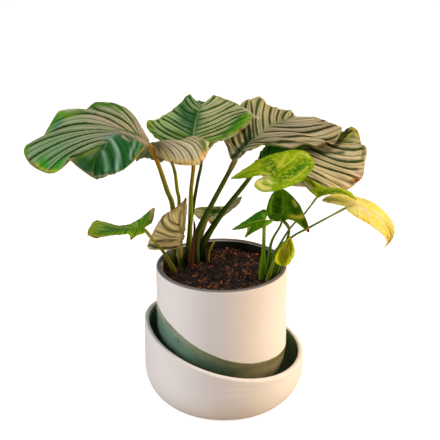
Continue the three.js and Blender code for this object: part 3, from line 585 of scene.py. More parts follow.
        ((196, 196, 80), 2.4, 1, (294, 201), (296, 205)),
        ((206, 196, 60), 2.6, 1, (291, 216), (298, 217), (304, 216)),
        ((90, 132, 10), 3, 0.8, (287, 218), (298, 221)),
        ((34, 70, 4), 3, 0.9, (304, 222), (307, 228)),
        ((110, 150, 30), 1.2, 1, (273, 196), (270, 204), (271, 212))],
    "vine_leaf_side": [
        ((36, 100, 8), 5, 1, (252, 216), (260, 213)),
        ((44, 110, 8), 3, 1, (240, 224), (248, 221)),
        ((96, 150, 16), 3, 0.8, (264, 215), (269, 219)),
        ((120, 168, 30), 2, 0.8, (266, 224), (271, 222)),
        ((130, 160, 90), 1.2, 0.9, (238, 222), (246, 217), (256, 212))],
    "vine_leaf_small": [
        ((222, 216, 170), 1.8, 1, (304, 182), (310, 188)),
        ((70, 96, 10), 1.4, 1, (310, 180), (314, 187)),
        ((120, 160, 10), 3, 0.8, (322, 189), (334, 189)),
        ((64, 104, 6), 1.6, 1, (318, 193), (328, 192), (340, 191)),
        ((84, 110, 10), 2.4, 0.8, (346, 194), (352, 199))],
    "vine_leaf_yellow": [
        ((206, 210, 40), 3, 0.8, (326, 199), (336, 198), (346, 197)),
        ((150, 170, 20), 1.5, 1, (324, 202), (332, 203)),
        ((244, 206, 160), 4, 0.5, (352, 203), (362, 207), (370, 214)),
        ((214, 190, 40), 2, 0.8, (352, 215), (362, 219), (370, 223)),
        ((236, 220, 160), 3, 0.6, (376, 212), (384, 222)),
        ((206, 150, 60), 2, 0.8, (388, 236), (389, 242)),
        ((232, 206, 110), 3, 0.7, (386, 226), (389, 232))],
    "vine_leaf_young": [
        ((246, 232, 110), 4, 1, (284, 248), (287, 253)),
        ((214, 214, 30), 4, 1, (280, 258), (288, 258)),
        ((120, 136, 8), 1.6, 1, (279, 246), (278, 253)),
        ((150, 160, 10), 1.5, 1, (291, 244), (293, 252)),
        ((96, 120, 8), 1.3, 1, (282, 262), (289, 261)),
        ((52, 112, 10), 2.2, 0.9, (285, 240), (278, 247), (275, 254)),
        ((60, 122, 12), 1.8, 0.9, (288, 242), (291, 249), (290, 256)),
        ((214, 214, 90), 2.6, 0.9, (283, 252), (284, 257))],
}

# What the blades of a plant share, unless a blade says otherwise
CALATHEA = dict(slot="calathea_leaf", relief=1.0, keel=1.5, shine=0.12, under=0.65)
VINE = dict(slot="vine_leaf", relief=0.25, keel=0.8, shine=0.04, under=0.65)


# Stalks, from the soil up, and the radius at the soil and at the top. A stalk that carries a
# blade runs on to the foot of that blade's midrib.

def stalk(path, radii, low, high, blade=None, slot="calathea_stalk"):
    return dict(path=path, radii=radii, low=seen(*low), high=seen(*high), blade=blade, slot=slot)


STALKS = {
    "stalk_left": stalk(
        [(-61, 18, 171), (-62, 12, 248), (-69, 6, 277), (-79, -3, 315)], (3.6, 3), (112, 120, 4),
        (184, 132, 8), "leaf_left"),
    "stalk_inner": stalk(
        [(-57, 28, 172), (-55, 26, 249), (-57, 21, 271), (-60, 16, 299), (-67, 12, 316)], (2.6, 2.2),
        (140, 148, 14), (90, 82, 14), "leaf_inner"),
    "stalk_centre": stalk(
        [(-44, 20, 170), (-41, 20, 238), (-40, 24, 270), (-37, 28, 299)], (3.3, 2.8), (140, 150, 8),
        (178, 118, 18), "leaf_centre"),
    "stalk_back": stalk(
        [(-44, 30, 172), (-42, 31, 214), (-37, 32, 249), (-32, 40, 276), (-28, 50, 295)], (2.6, 2.2),
        (46, 70, 8), (72, 98, 14), "leaf_back"),
    "stalk_right_upper": stalk(
        [(-35, 22, 170), (-35, 24, 187), (-32, 28, 212), (-16, 38, 243), (1, 46, 274)], (3.8, 3.3),
        (70, 90, 6), (98, 96, 12), "leaf_right_upper"),
    "stalk_right_lower": stalk(
        [(-27, 31, 172), (-25, 34, 195), (0, 46, 233), (32, 64, 270)], (3.8, 3.2), (60, 86, 8),
        (120, 140, 18), "leaf_right_lower"),
    "stalk_low_left": stalk(
        [(-60, -2, 169), (-64, -8, 183), (-74, -18, 207), (-85, -24, 224)], (2.2, 1.8), (112, 106, 14),
        (172, 160, 40), "leaf_low_left"),
    "stalk_low_front": stalk(
        [(-52, 14, 171), (-54, 11, 185)], (3, 2.6), (70, 84, 10), (120, 112, 24), "leaf_low_front"),
    "stalk_low_back": stalk(
        [(-30, 42, 174), (-30, 44, 181), (-28, 50, 197)], (1.8, 1.6), (80, 78, 14), (130, 120, 28),
        "leaf_low_back"),
    "vine_stalk_top": stalk(
        [(53, -12, 176), (57, -14, 216), (69, -20, 246), (68, -5, 266), (62, -8, 290)], (1.6, 1.4),
        (84, 120, 6), (140, 160, 20), "vine_leaf_top", "vine_stalk"),
    "vine_stalk_dark": stalk(
        [(56, -17, 173), (67, -17, 200), (76, -20, 224), (77, -32, 243)], (2, 1.8), (72, 108, 6),
        (108, 132, 14), "vine_leaf_dark", "vine_stalk"),
    "vine_stalk_side": stalk(
        [(46, -19, 171), (47, -40, 218)], (3.2, 2.2), (92, 134, 8), (134, 170, 30), "vine_leaf_side",
        "vine_stalk"),
    "vine_stalk_small": stalk(
        [(58, -11, 179), (64, -12, 205), (80, -14, 236), (96, -20, 257)], (1.4, 1.2), (84, 120, 8),
        (120, 138, 20), "vine_leaf_small", "vine_stalk"),
    "vine_stalk_yellow": stalk(
        [(52, -22, 172), (60, -28, 209), (82, -29, 231), (102, -29, 243)], (1.6, 1.4), (92, 128, 8),
        (150, 160, 40), "vine_leaf_yellow", "vine_stalk"),
    "vine_stalk_young": stalk(
        [(61, -22, 172), (70, -34, 205), (77, -40, 228)], (1.5, 1.3), (96, 134, 8), (150, 164, 24),
        "vine_leaf_young", "vine_stalk"),
}

SHEATHS = {
    "sheath_dry": stalk(
        [(-41, 9, 171), (-39, 11, 196), (-36, 13, 219), (-37, 14, 236)], (3.0, 1.2), (90, 44, 20),
        (24, 9, 6), slot="dry_sheath"),
    "sheath_young": stalk(
        [(-20, 25, 172), (-19, 27, 186), (-11, 30, 201)], (2.4, 0.9), (110, 96, 24), (164, 160, 50)),
    "vine_sheath": stalk(
        [(53, -29, 172), (58, -36, 196), (66, -46, 216)], (2.8, 0.9), (104, 120, 18), (150, 160, 44),
        slot="vine_stalk"),
}


# Curves and surfaces, in millimetres

def smooth(value, low, high):
    """Smooth step from 0 at low to 1 at high."""
    share = np.clip((np.asarray(value, float) - low) / (high - low), 0, 1)
    return share * share * (3 - 2 * share)


def curve(points, share):
    """Points of the smooth curve through the given ones, at shares 0 to 1 of its spans."""
    points = np.asarray(points, float)
    padded = np.vstack([2 * points[0] - points[1], points, 2 * points[-1] - points[-2]])
    spans = len(points) - 1
    place = np.clip(np.asarray(share, float) * spans, 0, spans)
    k = np.minimum(place.astype(int), spans - 1)
    f = (place - k)[..., None]
    a, b, c, d = padded[k], padded[k + 1], padded[k + 2], padded[k + 3]
    return 0.5 * (2 * b + (c - a) * f + (2 * a - 5 * b + 4 * c - d) * f ** 2
                  + (3 * b - a - 3 * c + d) * f ** 3)


def even_curve(points, share, steps=400):
    """Points and directions at even shares of the curve's length."""
    fine = curve(points, np.linspace(0, 1, steps + 1))
    run = np.concatenate([[0], np.cumsum(np.linalg.norm(np.diff(fine, axis=0), axis=1))])
    place = np.interp(np.asarray(share) * run[-1], run, np.linspace(0, 1, steps + 1))
    reach = 1e-3
    ahead = curve(points, np.clip(place + reach, 0, 1)) - curve(points, np.clip(place - reach, 0, 1))
    return curve(points, place), ahead / np.linalg.norm(ahead, axis=-1, keepdims=True)


def three_stage(values, share):
    """Smooth value through base, middle and tip."""
    base, middle, tip = values
    lower = base + (middle - base) * smooth(share, 0, 0.5)
    return np.where(share < 0.5, lower, middle + (tip - middle) * smooth(share, 0.5, 1))


def blade_half(blade, side, t, v):
    """Grid of points of one half: t along the margin, v from the midrib out along a side vein."""
    margin = curve(blade["left" if side < 0 else "right"], t)
    foot = np.clip(t - VEIN_LAG * np.sin(np.pi * t), 0, 1)
    root, along = even_curve(blade["rib"], foot)
    reach = margin - root
    forward = (reach * along).sum(-1, keepdims=True) * along
    across = reach - forward
    face = np.asarray(blade["face"], float)
    up = face - (along @ face)[:, None] * along
    up /= np.linalg.norm(up, axis=-1, keepdims=True)
    lift = three_stage(blade["halves"][0 if side < 0 else 1]["lift"], t)
    lift = lift * np.linalg.norm(across, axis=-1)
    bend = root + VEIN_BOW * forward + VEIN_REACH * across + lift[:, None] * up
    v = v[None, :, None]
    return (1 - v) ** 2 * root[:, None] + 2 * v * (1 - v) * bend[:, None] + v ** 2 * margin[:, None]


def arc_shares(share):
    """How much the start, middle and end count at a share of the arc through all three."""
    return (1 - share) * (1 - 2 * share), 4 * share * (1 - share), share * (2 * share - 1)


def half_phase(bands, t, v):
    """Dark bands passed from the base on, a whole number in the middle of each band, and the
    half width of the bands in millimetres."""
    count = len(bands)
    phase, width = np.zeros((len(t), len(v))), np.zeros((len(t), len(v)))
    for column, out in enumerate(v):
        at = bands[:, :3] @ arc_shares(out)
        ends = at[0] - 4 * (at[1] - at[0]), at[-1] + 4 * (at[-1] - at[-2])
        at = np.maximum.accumulate([ends[0], *at, ends[1]])
        phase[:, column] = np.interp(t, at, [-4, *range(count), count + 3])
        width[:, column] = np.interp(t, at[1:-1], bands[:, 3])
    return phase, width


def phase_slope(points, phase, t, v):
    """Bands per millimetre across the bands, at each point of one half."""
    ahead, over = np.gradient(points, t, axis=0), np.gradient(points, v, axis=1)
    rise, side = np.gradient(phase, t, axis=0), np.gradient(phase, v, axis=1)
    along, cross, out = ((a * b).sum(-1) for a, b in ((ahead, ahead), (ahead, over), (over, over)))
    square = out * rise ** 2 - 2 * cross * rise * side + along * side ** 2
    return np.sqrt(np.maximum(square, 0) / np.maximum(along * out - cross ** 2, 1e-6))


def blade_point(blade, t, v):
    """One point of a blade, with v negative on its left half."""
    return blade_half(blade, -1 if v < 0 else 1, np.array([t]), np.array([abs(v)]))[0, 0]


def photo_grid(blade, side):
    """A fine grid on one half: x and y in the photo, depth from the camera, t and v, and v is
    negative on the left half."""
    t, v = np.linspace(0, 1, PHOTO_ROWS), np.linspace(0, 1, PHOTO_COLUMNS)
    offset = blade_half(blade, side, t, v) - (np.array(CAMERA_AIM) - CAMERA_DISTANCE * CAMERA_AHEAD)
    depth = offset @ CAMERA_AHEAD
    x = PHOTO_MIDDLE + PHOTO_FOCUS * offset[..., 0] / depth
    y = PHOTO_MIDDLE - PHOTO_FOCUS * (offset @ CAMERA_UP) / depth
    along, out = np.meshgrid(t, v, indexing="ij")
    return np.stack([x, y, depth, along, side * out], axis=-1).reshape(-1, 5)


def spot_place(grid, spot, least=0.7, spread=0.15):
    """Place (t, v) of a grid that the photo shows at a spot, and how far off it is in pixels. Of
    the points that are near enough, the one in front counts."""
    off = np.hypot(grid[:, 0] - spot[0], grid[:, 1] - spot[1])
    near = np.where(off < max(least, off.min() + spread))[0]
    front = near[np.argmin(grid[near, 2])]
    return grid[front, 3], grid[front, 4], off[front]


def stroke_places(grid, spots):
    """Places on a blade of a stroke's spots, to a hundredth."""
    places = (spot_place(grid, spot) for spot in spots)
    return [(round(float(t), 2), round(float(v), 2)) for t, v, _ in places]


def traced_band(grid, width, spots, samples=14, far=2.0, short=0.55, stiffness=0.05):
    """A band through a traced line, as (t at the midrib, halfway and at the margin, half width),
    rounded to a thousandth and then to a hundredth. A short line gives a straight band."""
    spots = np.array(spots, float)
    if len(spots) == 3:
        shares = np.linspace(0, 2, samples)[:, None] / 2
        line = sum(weight * spot for weight, spot in zip(arc_shares(shares), spots))
    else:
        line = curve(spots, np.linspace(0, 1, samples))
    places = np.array([spot_place(grid, spot, least=0.8, spread=0.2) for spot in line])
    places = places[places[:, 2] < far]
    t, v = places[:, 0], np.abs(places[:, 1])
    if v.max() - v.min() > short:
        bend = stiffness * np.array([[1, -2, 1]])
        sums = np.vstack([np.stack(arc_shares(v), axis=1), bend])
        fit = np.linalg.lstsq(sums, np.append(t, 0), rcond=None)[0]
    else:
        ends = np.linalg.lstsq(np.stack([1 - v, v], axis=1), t, rcond=None)[0]
        fit = ends[0], ends.mean(), ends[1]
    return [*(round(float(place), 2) for place in np.round(fit, 3)), width]


def place_on_blade(blade):
    """Turns the traced bands and the strokes of a blade into bands and marks on the blade."""
    grids = {side: photo_grid(blade, side) for side in (-1, 1)}
    whole = np.vstack([grids[-1], grids[1]])
    halves = []
    for side, record in zip((-1, 1), blade["halves"]):
        bands = [traced_band(grids[side], **band) if isinstance(band, dict) else band
                 for band in record["bands"]]
        halves.append(dict(record, bands=np.array(bands, float)))
    marks = list(blade.get("tints", ()))
    for colour, radius, cover, *spots in STROKES.get(blade["name"], ()):
        marks.append((colour, radius, cover, *stroke_places(whole, spots)))
    return dict(blade, halves=halves, marks=marks)


def nearest(points, line):
    """Distance of each point to the nearest point of a line."""
    flat = points.reshape(-1, 3)
    best = np.full(len(flat), 1e9)
    for start in range(0, len(flat), 4000):
        part = flat[start:start + 4000]
        best[start:start + 4000] = np.linalg.norm(part[:, None] - line[None], axis=-1).min(axis=1)
    return best.reshape(points.shape[:-1])


# Meshes

def set_values(mesh, name, values):
    """Three values for each point of a mesh."""
    attribute = mesh.attributes.new(name, "FLOAT_VECTOR", "POINT")
    attribute.data.foreach_set("vector", np.ascontiguousarray(values, dtype=np.float32).ravel())


def make_piece(name, points, faces, material, nodes=(), values=None):
    """A smooth mesh piece that rides on the body, from points in millimetres."""
    mesh = bpy.data.meshes.new(name)
    mesh.from_pydata((np.asarray(points, float) * MM).tolist(), [], faces)
    mesh.polygons.foreach_set("use_smooth", [True] * len(mesh.polygons))
    for key, data in (values or {}).items():
        set_values(mesh, key, data)
    mesh.materials.append(material)
    mesh.update()
    piece = bpy.data.objects.new(name, mesh)
    bpy.context.scene.collection.objects.link(piece)
    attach(piece, "root")
    if nodes:
        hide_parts(*nodes)
    return piece


def grid_faces(rows, columns, start=0, flip=False):
    """Quads of a grid of points that is open on all four sides."""
    faces = []
    for i in range(rows - 1):
        for j in range(columns - 1):
            a = start + i * columns + j
            quad = (a, a + 1, a + columns + 1, a + columns)
            faces.append(quad[::-1] if flip else quad)
    return faces


def lathe(profile, segments):
    """Rings of points round the Z axis and their faces. The profile is a closed loop, or it
    starts and ends on the axis."""
    profile = np.asarray(profile, float)
    angle = np.arange(segments) * 2 * np.pi / segments
    closed = profile[0][0] > 1e-6
    points, rings = [], []
    for radius, height in profile:
        if radius < 1e-6:
            rings.append([len(points)] * segments)
            points.append((0, 0, height))
            continue
        rings.append(list(range(len(points), len(points) + segments)))
        points.extend((radius * math.cos(a), radius * math.sin(a), height) for a in angle)
    faces = []
    pairs = list(zip(rings, rings[1:])) + ([(rings[-1], rings[0])] if closed else [])
    for low, high in pairs:
        for k in range(segments):
            m = (k + 1) % segments
            corners = (low[k], low[m], high[m], high[k])
            faces.append(tuple(dict.fromkeys(corners)))
    return np.array(points), faces


def bowl_section(flat, wall, floor, height, steps=28):
    """Quarter-ellipse section from a flat floor up to an upright wall."""
    angle = np.linspace(0, np.pi / 2, steps + 1)
    return [(flat + (wall - flat) * math.sin(a), floor + height * (1 - math.cos(a))) for a in angle]


def bowl_height(radius, flat, wall, top, height):
    """Height of a bowl's quarter-ellipse section at a radius."""
    return top - height * np.sqrt(np.clip(1 - ((radius - flat) / (wall - flat)) ** 2, 0, 1))


def lip_section(outer, inner, top, height=LIP_HEIGHT, steps=14):
    """Half-ellipse lip from the outer face of a wall to its inner face."""
    angle = np.linspace(0, np.pi, steps + 1)
    return [((outer + inner + (outer - inner) * math.cos(a)) / 2, top - height * (1 - math.sin(a)))
            for a in angle]


def wall_section(radius, low, high, step=2.0):
    """Points up an upright wall, without its two ends."""
    count = max(2, round(abs(high - low) / step))
    return [(radius, low + (high - low) * k / count) for k in range(1, count)]


def tube(centres, radii, sides=20, around=None):
    """A closed tube round a line of points. around gives the shape of its section."""
    centres = np.asarray(centres, float)
    along = np.gradient(centres, axis=0)
    along /= np.linalg.norm(along, axis=1, keepdims=True)
    normal = np.cross(along[0], (0.3, 1, 0.2))
    angle = np.arange(sides) * 2 * np.pi / sides
    shape = np.ones(sides) if around is None else around(angle)
    points = []
    for centre, direction, radius in zip(centres, along, radii):
        normal = normal - (normal @ direction) * direction
        normal /= np.linalg.norm(normal)
        other = np.cross(direction, normal)
        ring = np.outer(np.cos(angle) * shape, normal) + np.outer(np.sin(angle) * shape, other)
        points.extend(centre + radius * ring)
    count = len(centres)
    faces = []
    for i in range(count - 1):
        for k in range(sides):
            m = (k + 1) % sides
            faces.append((i * sides + k, i * sides + m, (i + 1) * sides + m, (i + 1) * sides + k))
    faces.append(tuple(reversed(range(sides))))
    faces.append(tuple((count - 1) * sides + k for k in range(sides)))
    return np.array(points), faces


# Shader trees

class Tree:
    """Adds nodes to a tree, with values or links given for their sockets."""

    def __init__(self, tree):
        self.tree = tree

    def add(self, kind, inputs=None, **settings):
        node = self.tree.nodes.new(kind)
        for name, value in settings.items():
            setattr(node, name, value)
        for socket, value in (inputs or {}).items():
            self.feed(node.inputs[socket], value)
        return node

    def feed(self, socket, value):
        if isinstance(value, bpy.types.NodeSocket):
            self.tree.links.new(value, socket)
        else:
            socket.default_value = value

    def math(self, operation, *values, clamp=False):
        inputs = dict(enumerate(values))
        return self.add("ShaderNodeMath", inputs, operation=operation, use_clamp=clamp).outputs[0]

    def times(self, first, second):
        return self.math("MULTIPLY", first, second)

    def plus(self, first, second, clamp=False):
        return self.math("ADD", first, second, clamp=clamp)

    def rest(self, share):
        return self.math("SUBTRACT", 1.0, share)

    def spread(self, value, reach):
        """A value of 0 to 1 moved to lie round 0, within half the reach."""
        return self.times(self.math("SUBTRACT", value, 0.5), reach)

    def grey(self, light):
        return self.add("ShaderNodeCombineColor", {0: light, 1: light, 2: light}).outputs[0]

    def mix(self, share, first, second, blend="MIX"):
        inputs = {0: share, 6: first, 7: second}
        node = self.add("ShaderNodeMix", inputs, data_type="RGBA", blend_type=blend)
        return node.outputs[2]

    def mix_value(self, share, first, second):
        inputs = {0: share, 2: first, 3: second}
        return self.add("ShaderNodeMix", inputs, data_type="FLOAT").outputs[0]

    def step(self, value, low, high):
        """Smooth step from 0 at low to 1 at high."""
        inputs = {0: value, 1: low, 2: high, 3: 0.0, 4: 1.0}
        return self.add("ShaderNodeMapRange", inputs, interpolation_type="SMOOTHSTEP").outputs[0]

    def fall(self, value, low, high):
        """Smooth step from 1 at low to 0 at high."""
        return self.rest(self.step(value, low, high))

    def noise(self, place, scale, detail=2.0, roughness=0.5):
        inputs = {"Vector": place, "Scale": scale, "Detail": detail, "Roughness": roughness}
        return self.add("ShaderNodeTexNoise", inputs).outputs[0]

    def attribute(self, name):
        return self.add("ShaderNodeAttribute", attribute_name=name).outputs["Vector"]

    def parts(self, vector):
        return self.add("ShaderNodeSeparateXYZ", {0: vector}).outputs

    def place(self):
        return self.add("ShaderNodeTexCoord").outputs["Object"]


def new_group(name, inputs, outputs):
    """An empty shader group with the given inputs (name: value) and outputs (name: kind)."""
    group = bpy.data.node_groups.new(name, "ShaderNodeTree")
    for label, value in inputs.items():
        kind = "NodeSocketColor" if isinstance(value, tuple) else "NodeSocketFloat"
        group.interface.new_socket(name=label, in_out="INPUT", socket_type=kind).default_value = value
    for label, kind in outputs.items():
        group.interface.new_socket(name=label, in_out="OUTPUT", socket_type=kind)
    tree = Tree(group)
    return group, tree, tree.add("NodeGroupInput").outputs, tree.add("NodeGroupOutput").inputs


LOOK = {"Colour": "NodeSocketColor", "Roughness": "NodeSocketFloat", "Height": "NodeSocketFloat"}


def shared_group(name, build):
    """The group of this name, built the first time that it is asked for."""
    return bpy.data.node_groups.get(name) or build(name)


def grain_group(name):
    """Fine uneven tone and grain that any surface can take on."""
    group, tree, given, result = new_group(
        name,
        {"Colour": (0.5, 0.5, 0.5, 1.0), "Tone": 0.1, "Tone Scale": 40.0, "Grain": 0.1,
         "Grain Scale": 900.0, "Roughness": 0.5, "Roughness Spread": 0.1},
        LOOK)
    place = tree.place()
    tone = tree.noise(place, given["Tone Scale"], 4.0, 0.6)
    grain = tree.noise(place, given["Grain Scale"], 3.0, 0.6)
    change = tree.spread(tone, given["Tone"])
    fine = tree.spread(grain, given["Grain"])
    light = tree.plus(1.0, tree.times(2.0, tree.plus(change, fine)))
    shade = tree.grey(light)
    tree.feed(result["Colour"], tree.mix(1.0, given["Colour"], shade, "MULTIPLY"))
    spread = tree.spread(tone, given["Roughness Spread"])
    tree.feed(result["Roughness"], tree.plus(given["Roughness"], spread, clamp=True))
    tree.feed(result["Height"], grain)
    return group


def blade_group(name):
    """Leaf skin: bands and veins along the side veins, midrib, edge, blemishes and underside."""
    group, tree, given, result = new_group(
        name,
        {"Band Shade": 0.35, "Vein Share": 0.09, "Vein Strength": 0.7, "Fold Shade": 0.1,
         "Wander": 0.12, "Streaks": 0.25, "Mottle": 0.0, "Mottle Colour": seen(230, 225, 150),
         "Zone": seen(90, 130, 40), "Zone Width": 3.0, "Edge": seen(186, 126, 60),
         "Edge Width": 1.1, "Rib": seen(150, 150, 90), "Rib Width": 1.5,
         "Spot": seen(96, 52, 22), "Halo": seen(190, 130, 40), "Underside": seen(120, 135, 90),
         "Underside Share": 0.65, "Roughness": 0.45},
        LOOK)
    place = tree.place()
    phase, _, upper = tree.parts(tree.attribute("vein"))
    along, from_rib, from_edge = tree.parts(tree.attribute("where"))
    ground = tree.attribute("ground")
    band = tree.attribute("band")
    hurt, width, _ = tree.parts(tree.attribute("hurt"))

    broad = tree.noise(place, 45.0, 2.0)
    middle = tree.noise(place, 170.0, 3.0)
    fine = tree.noise(place, 900.0, 3.0, 0.6)
    moved = tree.math("MULTIPLY_ADD", tree.math("SUBTRACT", middle, 0.5), given["Wander"], phase)
    off_band = tree.math("PINGPONG", moved, 0.5)
    off_vein = tree.math("SUBTRACT", 0.5, off_band)
    reach = tree.times(given["Zone Width"], tree.times(broad, 2.0))
    inside = tree.step(from_edge, tree.times(reach, 0.2), reach)
    size = tree.times(width, tree.plus(0.5, broad))
    size = tree.times(size, tree.plus(0.45, tree.times(inside, 0.55)))
    wide = tree.fall(off_band, tree.times(size, 0.5), tree.times(size, 1.5))
    shade = tree.fall(off_band, size, tree.plus(size, 0.2))
    wide = tree.math("MAXIMUM", wide, tree.times(shade, given["Band Shade"]))
    thin = tree.fall(off_vein, 0.01, given["Vein Share"])
    thin = tree.times(thin, given["Vein Strength"])
    cover = tree.math("MAXIMUM", wide, thin)
    cover = tree.times(cover, inside)
    ripple = tree.math("SINE", tree.times(moved, 2 * math.pi * RIPPLES))
    streak = tree.plus(0.5, tree.times(ripple, 0.5))
    streak = tree.times(streak, given["Streaks"])
    cover = tree.plus(cover, tree.times(streak, tree.rest(cover)))
    colour = tree.mix(cover, ground, band)

    blotch = tree.step(tree.noise(place, 250.0, 4.0, 0.65), 0.53, 0.6)
    colour = tree.mix(tree.times(blotch, given["Mottle"]), colour, given["Mottle Colour"])
    zone = tree.mix(0.35, given["Zone"], ground)
    colour = tree.mix(tree.times(tree.rest(inside), 0.6), colour, zone)

    low_colour = tree.mix(given["Underside Share"], colour, given["Underside"])
    colour = tree.mix(upper, low_colour, colour)
    edge_reach = tree.times(given["Edge Width"], 0.4)
    edge = tree.fall(from_edge, edge_reach, given["Edge Width"])
    edge = tree.times(edge, tree.step(middle, 0.42, 0.64))
    colour = tree.mix(tree.times(edge, 0.45), colour, given["Edge"])
    rib_reach = tree.times(given["Rib Width"], tree.math("SUBTRACT", 1.25, along))
    rib = tree.fall(from_rib, tree.times(rib_reach, 0.45), rib_reach)
    colour = tree.mix(tree.times(rib, 0.85), colour, given["Rib"])

    ragged = tree.plus(hurt, tree.spread(middle, 0.5))
    colour = tree.mix(tree.times(tree.step(ragged, 0.2, 0.5), 0.8), colour, given["Halo"])
    colour = tree.mix(tree.step(ragged, 0.5, 0.62), colour, given["Spot"])
    fold = tree.math("COSINE", tree.times(moved, 4 * math.pi))
    light = tree.plus(0.9, tree.times(fine, 0.2))
    light = tree.math("SUBTRACT", light, tree.times(fold, given["Fold Shade"]))
    shade = tree.grey(light)
    tree.feed(result["Colour"], tree.mix(1.0, colour, shade, "MULTIPLY"))
    uneven = tree.spread(middle, 0.25)
    rough = tree.plus(given["Roughness"], uneven)
    rough = tree.plus(rough, tree.times(tree.rest(upper), 0.15))
    dry = tree.times(tree.step(ragged, 0.4, 0.6), 0.3)
    tree.feed(result["Roughness"], tree.plus(rough, dry))
    height = tree.plus(tree.times(ripple, 0.18), tree.times(fine, 0.5))
    tree.feed(result["Height"], tree.math("SUBTRACT", height, tree.times(thin, 0.5)))
    return group


def stem_group(name):
    """Stalk skin: colour from the soil up, fibres along it and small blemishes."""
    group, tree, given, result = new_group(
        name,
        {"Low": seen(80, 70, 20), "High": seen(140, 130, 40), "Joint": seen(176, 160, 84),
         "Fibre": 0.25, "Blemish": 0.3, "Foot": 0.5, "Roughness": 0.45},
        LOOK)
    place = tree.place()
    along, _, joint = tree.parts(tree.attribute("along"))
    stretched = tree.add("ShaderNodeMapping", {"Vector": place, "Scale": (1.0, 1.0, 0.08)}).outputs[0]
    fibre = tree.noise(stretched, 900.0, 3.0, 0.6)
    cloud = tree.noise(place, 120.0, 3.0, 0.6)
    drift = tree.spread(cloud, 0.5)
    share = tree.plus(along, drift, clamp=True)
    colour = tree.mix(tree.step(share, 0.6, 1.0), given["Low"], given["High"])
    foot = tree.times(tree.fall(share, 0.1, 0.34), given["Foot"])
    colour = tree.mix(foot, colour, seen(26, 36, 10))
    colour = tree.mix(tree.times(joint, 0.8), colour, given["Joint"])
    dark = tree.times(tree.step(cloud, 0.56, 0.68), given["Blemish"])
    colour = tree.mix(dark, colour, seen(58, 36, 16))
    stripe = tree.spread(fibre, given["Fibre"])
    light = tree.plus(1.0, stripe)
    shade = tree.grey(light)
    tree.feed(result["Colour"], tree.mix(1.0, colour, shade, "MULTIPLY"))
    rough = tree.spread(cloud, 0.3)
    tree.feed(result["Roughness"], tree.plus(given["Roughness"], rough))
    tree.feed(result["Height"], fibre)
    return group


def grained(tree, colour, tone, tone_scale, grain, grain_scale, roughness, spread=0.1):
    """Colour, roughness and relief of a surface with the shared fine grain."""
    values = {"Colour": colour, "Tone": tone, "Tone Scale": tone_scale, "Grain": grain,
              "Grain Scale": grain_scale, "Roughness": roughness, "Roughness Spread": spread}
    group = shared_group("grain", grain_group)
    return tree.add("ShaderNodeGroup", values, node_tree=group).outputs


def new_material(name, bump, **shader):
    """A material, its tree and its shader, with plain values set on the shader's sockets."""
    material = bpy.data.materials.new(name)
    material.use_nodes = True
    tree = Tree(material.node_tree)
    principled = material.node_tree.nodes["Principled BSDF"]
    for label, value in shader.items():
        principled.inputs[label.replace("_", " ")].default_value = value
    relief = tree.add("ShaderNodeBump", {"Distance": bump * MM, "Strength": 1.0})
    tree.feed(principled.inputs["Normal"], relief.outputs[0])
    return material, tree, principled, relief


def feed_look(tree, principled, relief, look):
    """Colour, roughness and relief of a group for the shader of a material."""
    tree.feed(principled.inputs["Base Color"], look["Colour"])
    tree.feed(principled.inputs["Roughness"], look["Roughness"])
    tree.feed(relief.inputs["Height"], look["Height"])


def group_material(name, group, values, bump, **shader):
    """A material whose colour, roughness and relief come from one group."""
    material, tree, principled, relief = new_material(name, bump, **shader)
    feed_look(tree, principled, relief, tree.add("ShaderNodeGroup", values, node_tree=group).outputs)
    return material


# Settings that the panel shows

def colour_setting(name, description, colour):
    """A colour that the panel shows, given as it is seen."""
    return bpy.props.FloatVectorProperty(
        name=name, description=description, default=seen(*colour), size=4, min=0, max=1,
        subtype="COLOR")


def size_setting(name, description, size, unit="LENGTH"):
    """A length in metres, or another measure with a unit, that the panel shows."""
    return bpy.props.FloatProperty(name=name, description=description, default=size, unit=unit)


class BladeSettings(bpy.types.PropertyGroup):
    thickness: size_setting("Thickness", "Thickness of a calathea blade", 0.0009)
    pleat: size_setting("Pleat depth", "Height of the folds between side veins", 0.0006)
    wave: size_setting("Edge wave", "Height of the small waves along the margin", 0.0008)
    rows: bpy.props.IntProperty(
        name="Rows", description="Rows of points from base to tip", default=220, min=20)
    columns: bpy.props.IntProperty(
        name="Columns", description="Columns of points from midrib to margin", default=26, min=6)
    vein: bpy.props.FloatProperty(
        name="Vein strength", description="Darkness of the thin veins between the dark bands",
        default=0.55, min=0, max=1, subtype="FACTOR")
    spot: colour_setting("Dry spots", "Colour of the dry brown spots and tips", (112, 66, 32))


class StalkSettings(bpy.types.PropertyGroup):
    sides: bpy.props.IntProperty(name="Sides", description="Sides of a stalk", default=20, min=6)
    foot: bpy.props.FloatProperty(
        name="Foot swelling", description="How much wider a stalk is at the soil", default=0.45)
    joint: size_setting("Joint length", "Length of the swollen joint below a blade", 0.018)


class PotSettings(bpy.types.PropertyGroup):
    clay: colour_setting("Matt white", "Colour of the matt white glaze", (237, 230, 226))
    rim: colour_setting("Bare rim", "Colour of the bare fired rim", (120, 114, 112))
    green: colour_setting(
        "Dipped glaze", "Colour of the glossy glaze below the slanted line", (84, 106, 80))
    segments: bpy.props.IntProperty(
        name="Segments", description="Segments round the pot and the saucer", default=160, min=24)


class SoilSettings(bpy.types.PropertyGroup):
    bark: bpy.props.IntProperty(name="Bark pieces", description="Number of bark pieces", default=760)
    grit: bpy.props.IntProperty(name="Grit", description="Number of pale grains", default=40)
    fibres: bpy.props.IntProperty(name="Fibres", description="Number of loose fibres", default=60)
    seed: bpy.props.IntProperty(name="Seed", description="Start of the random draws", default=7)


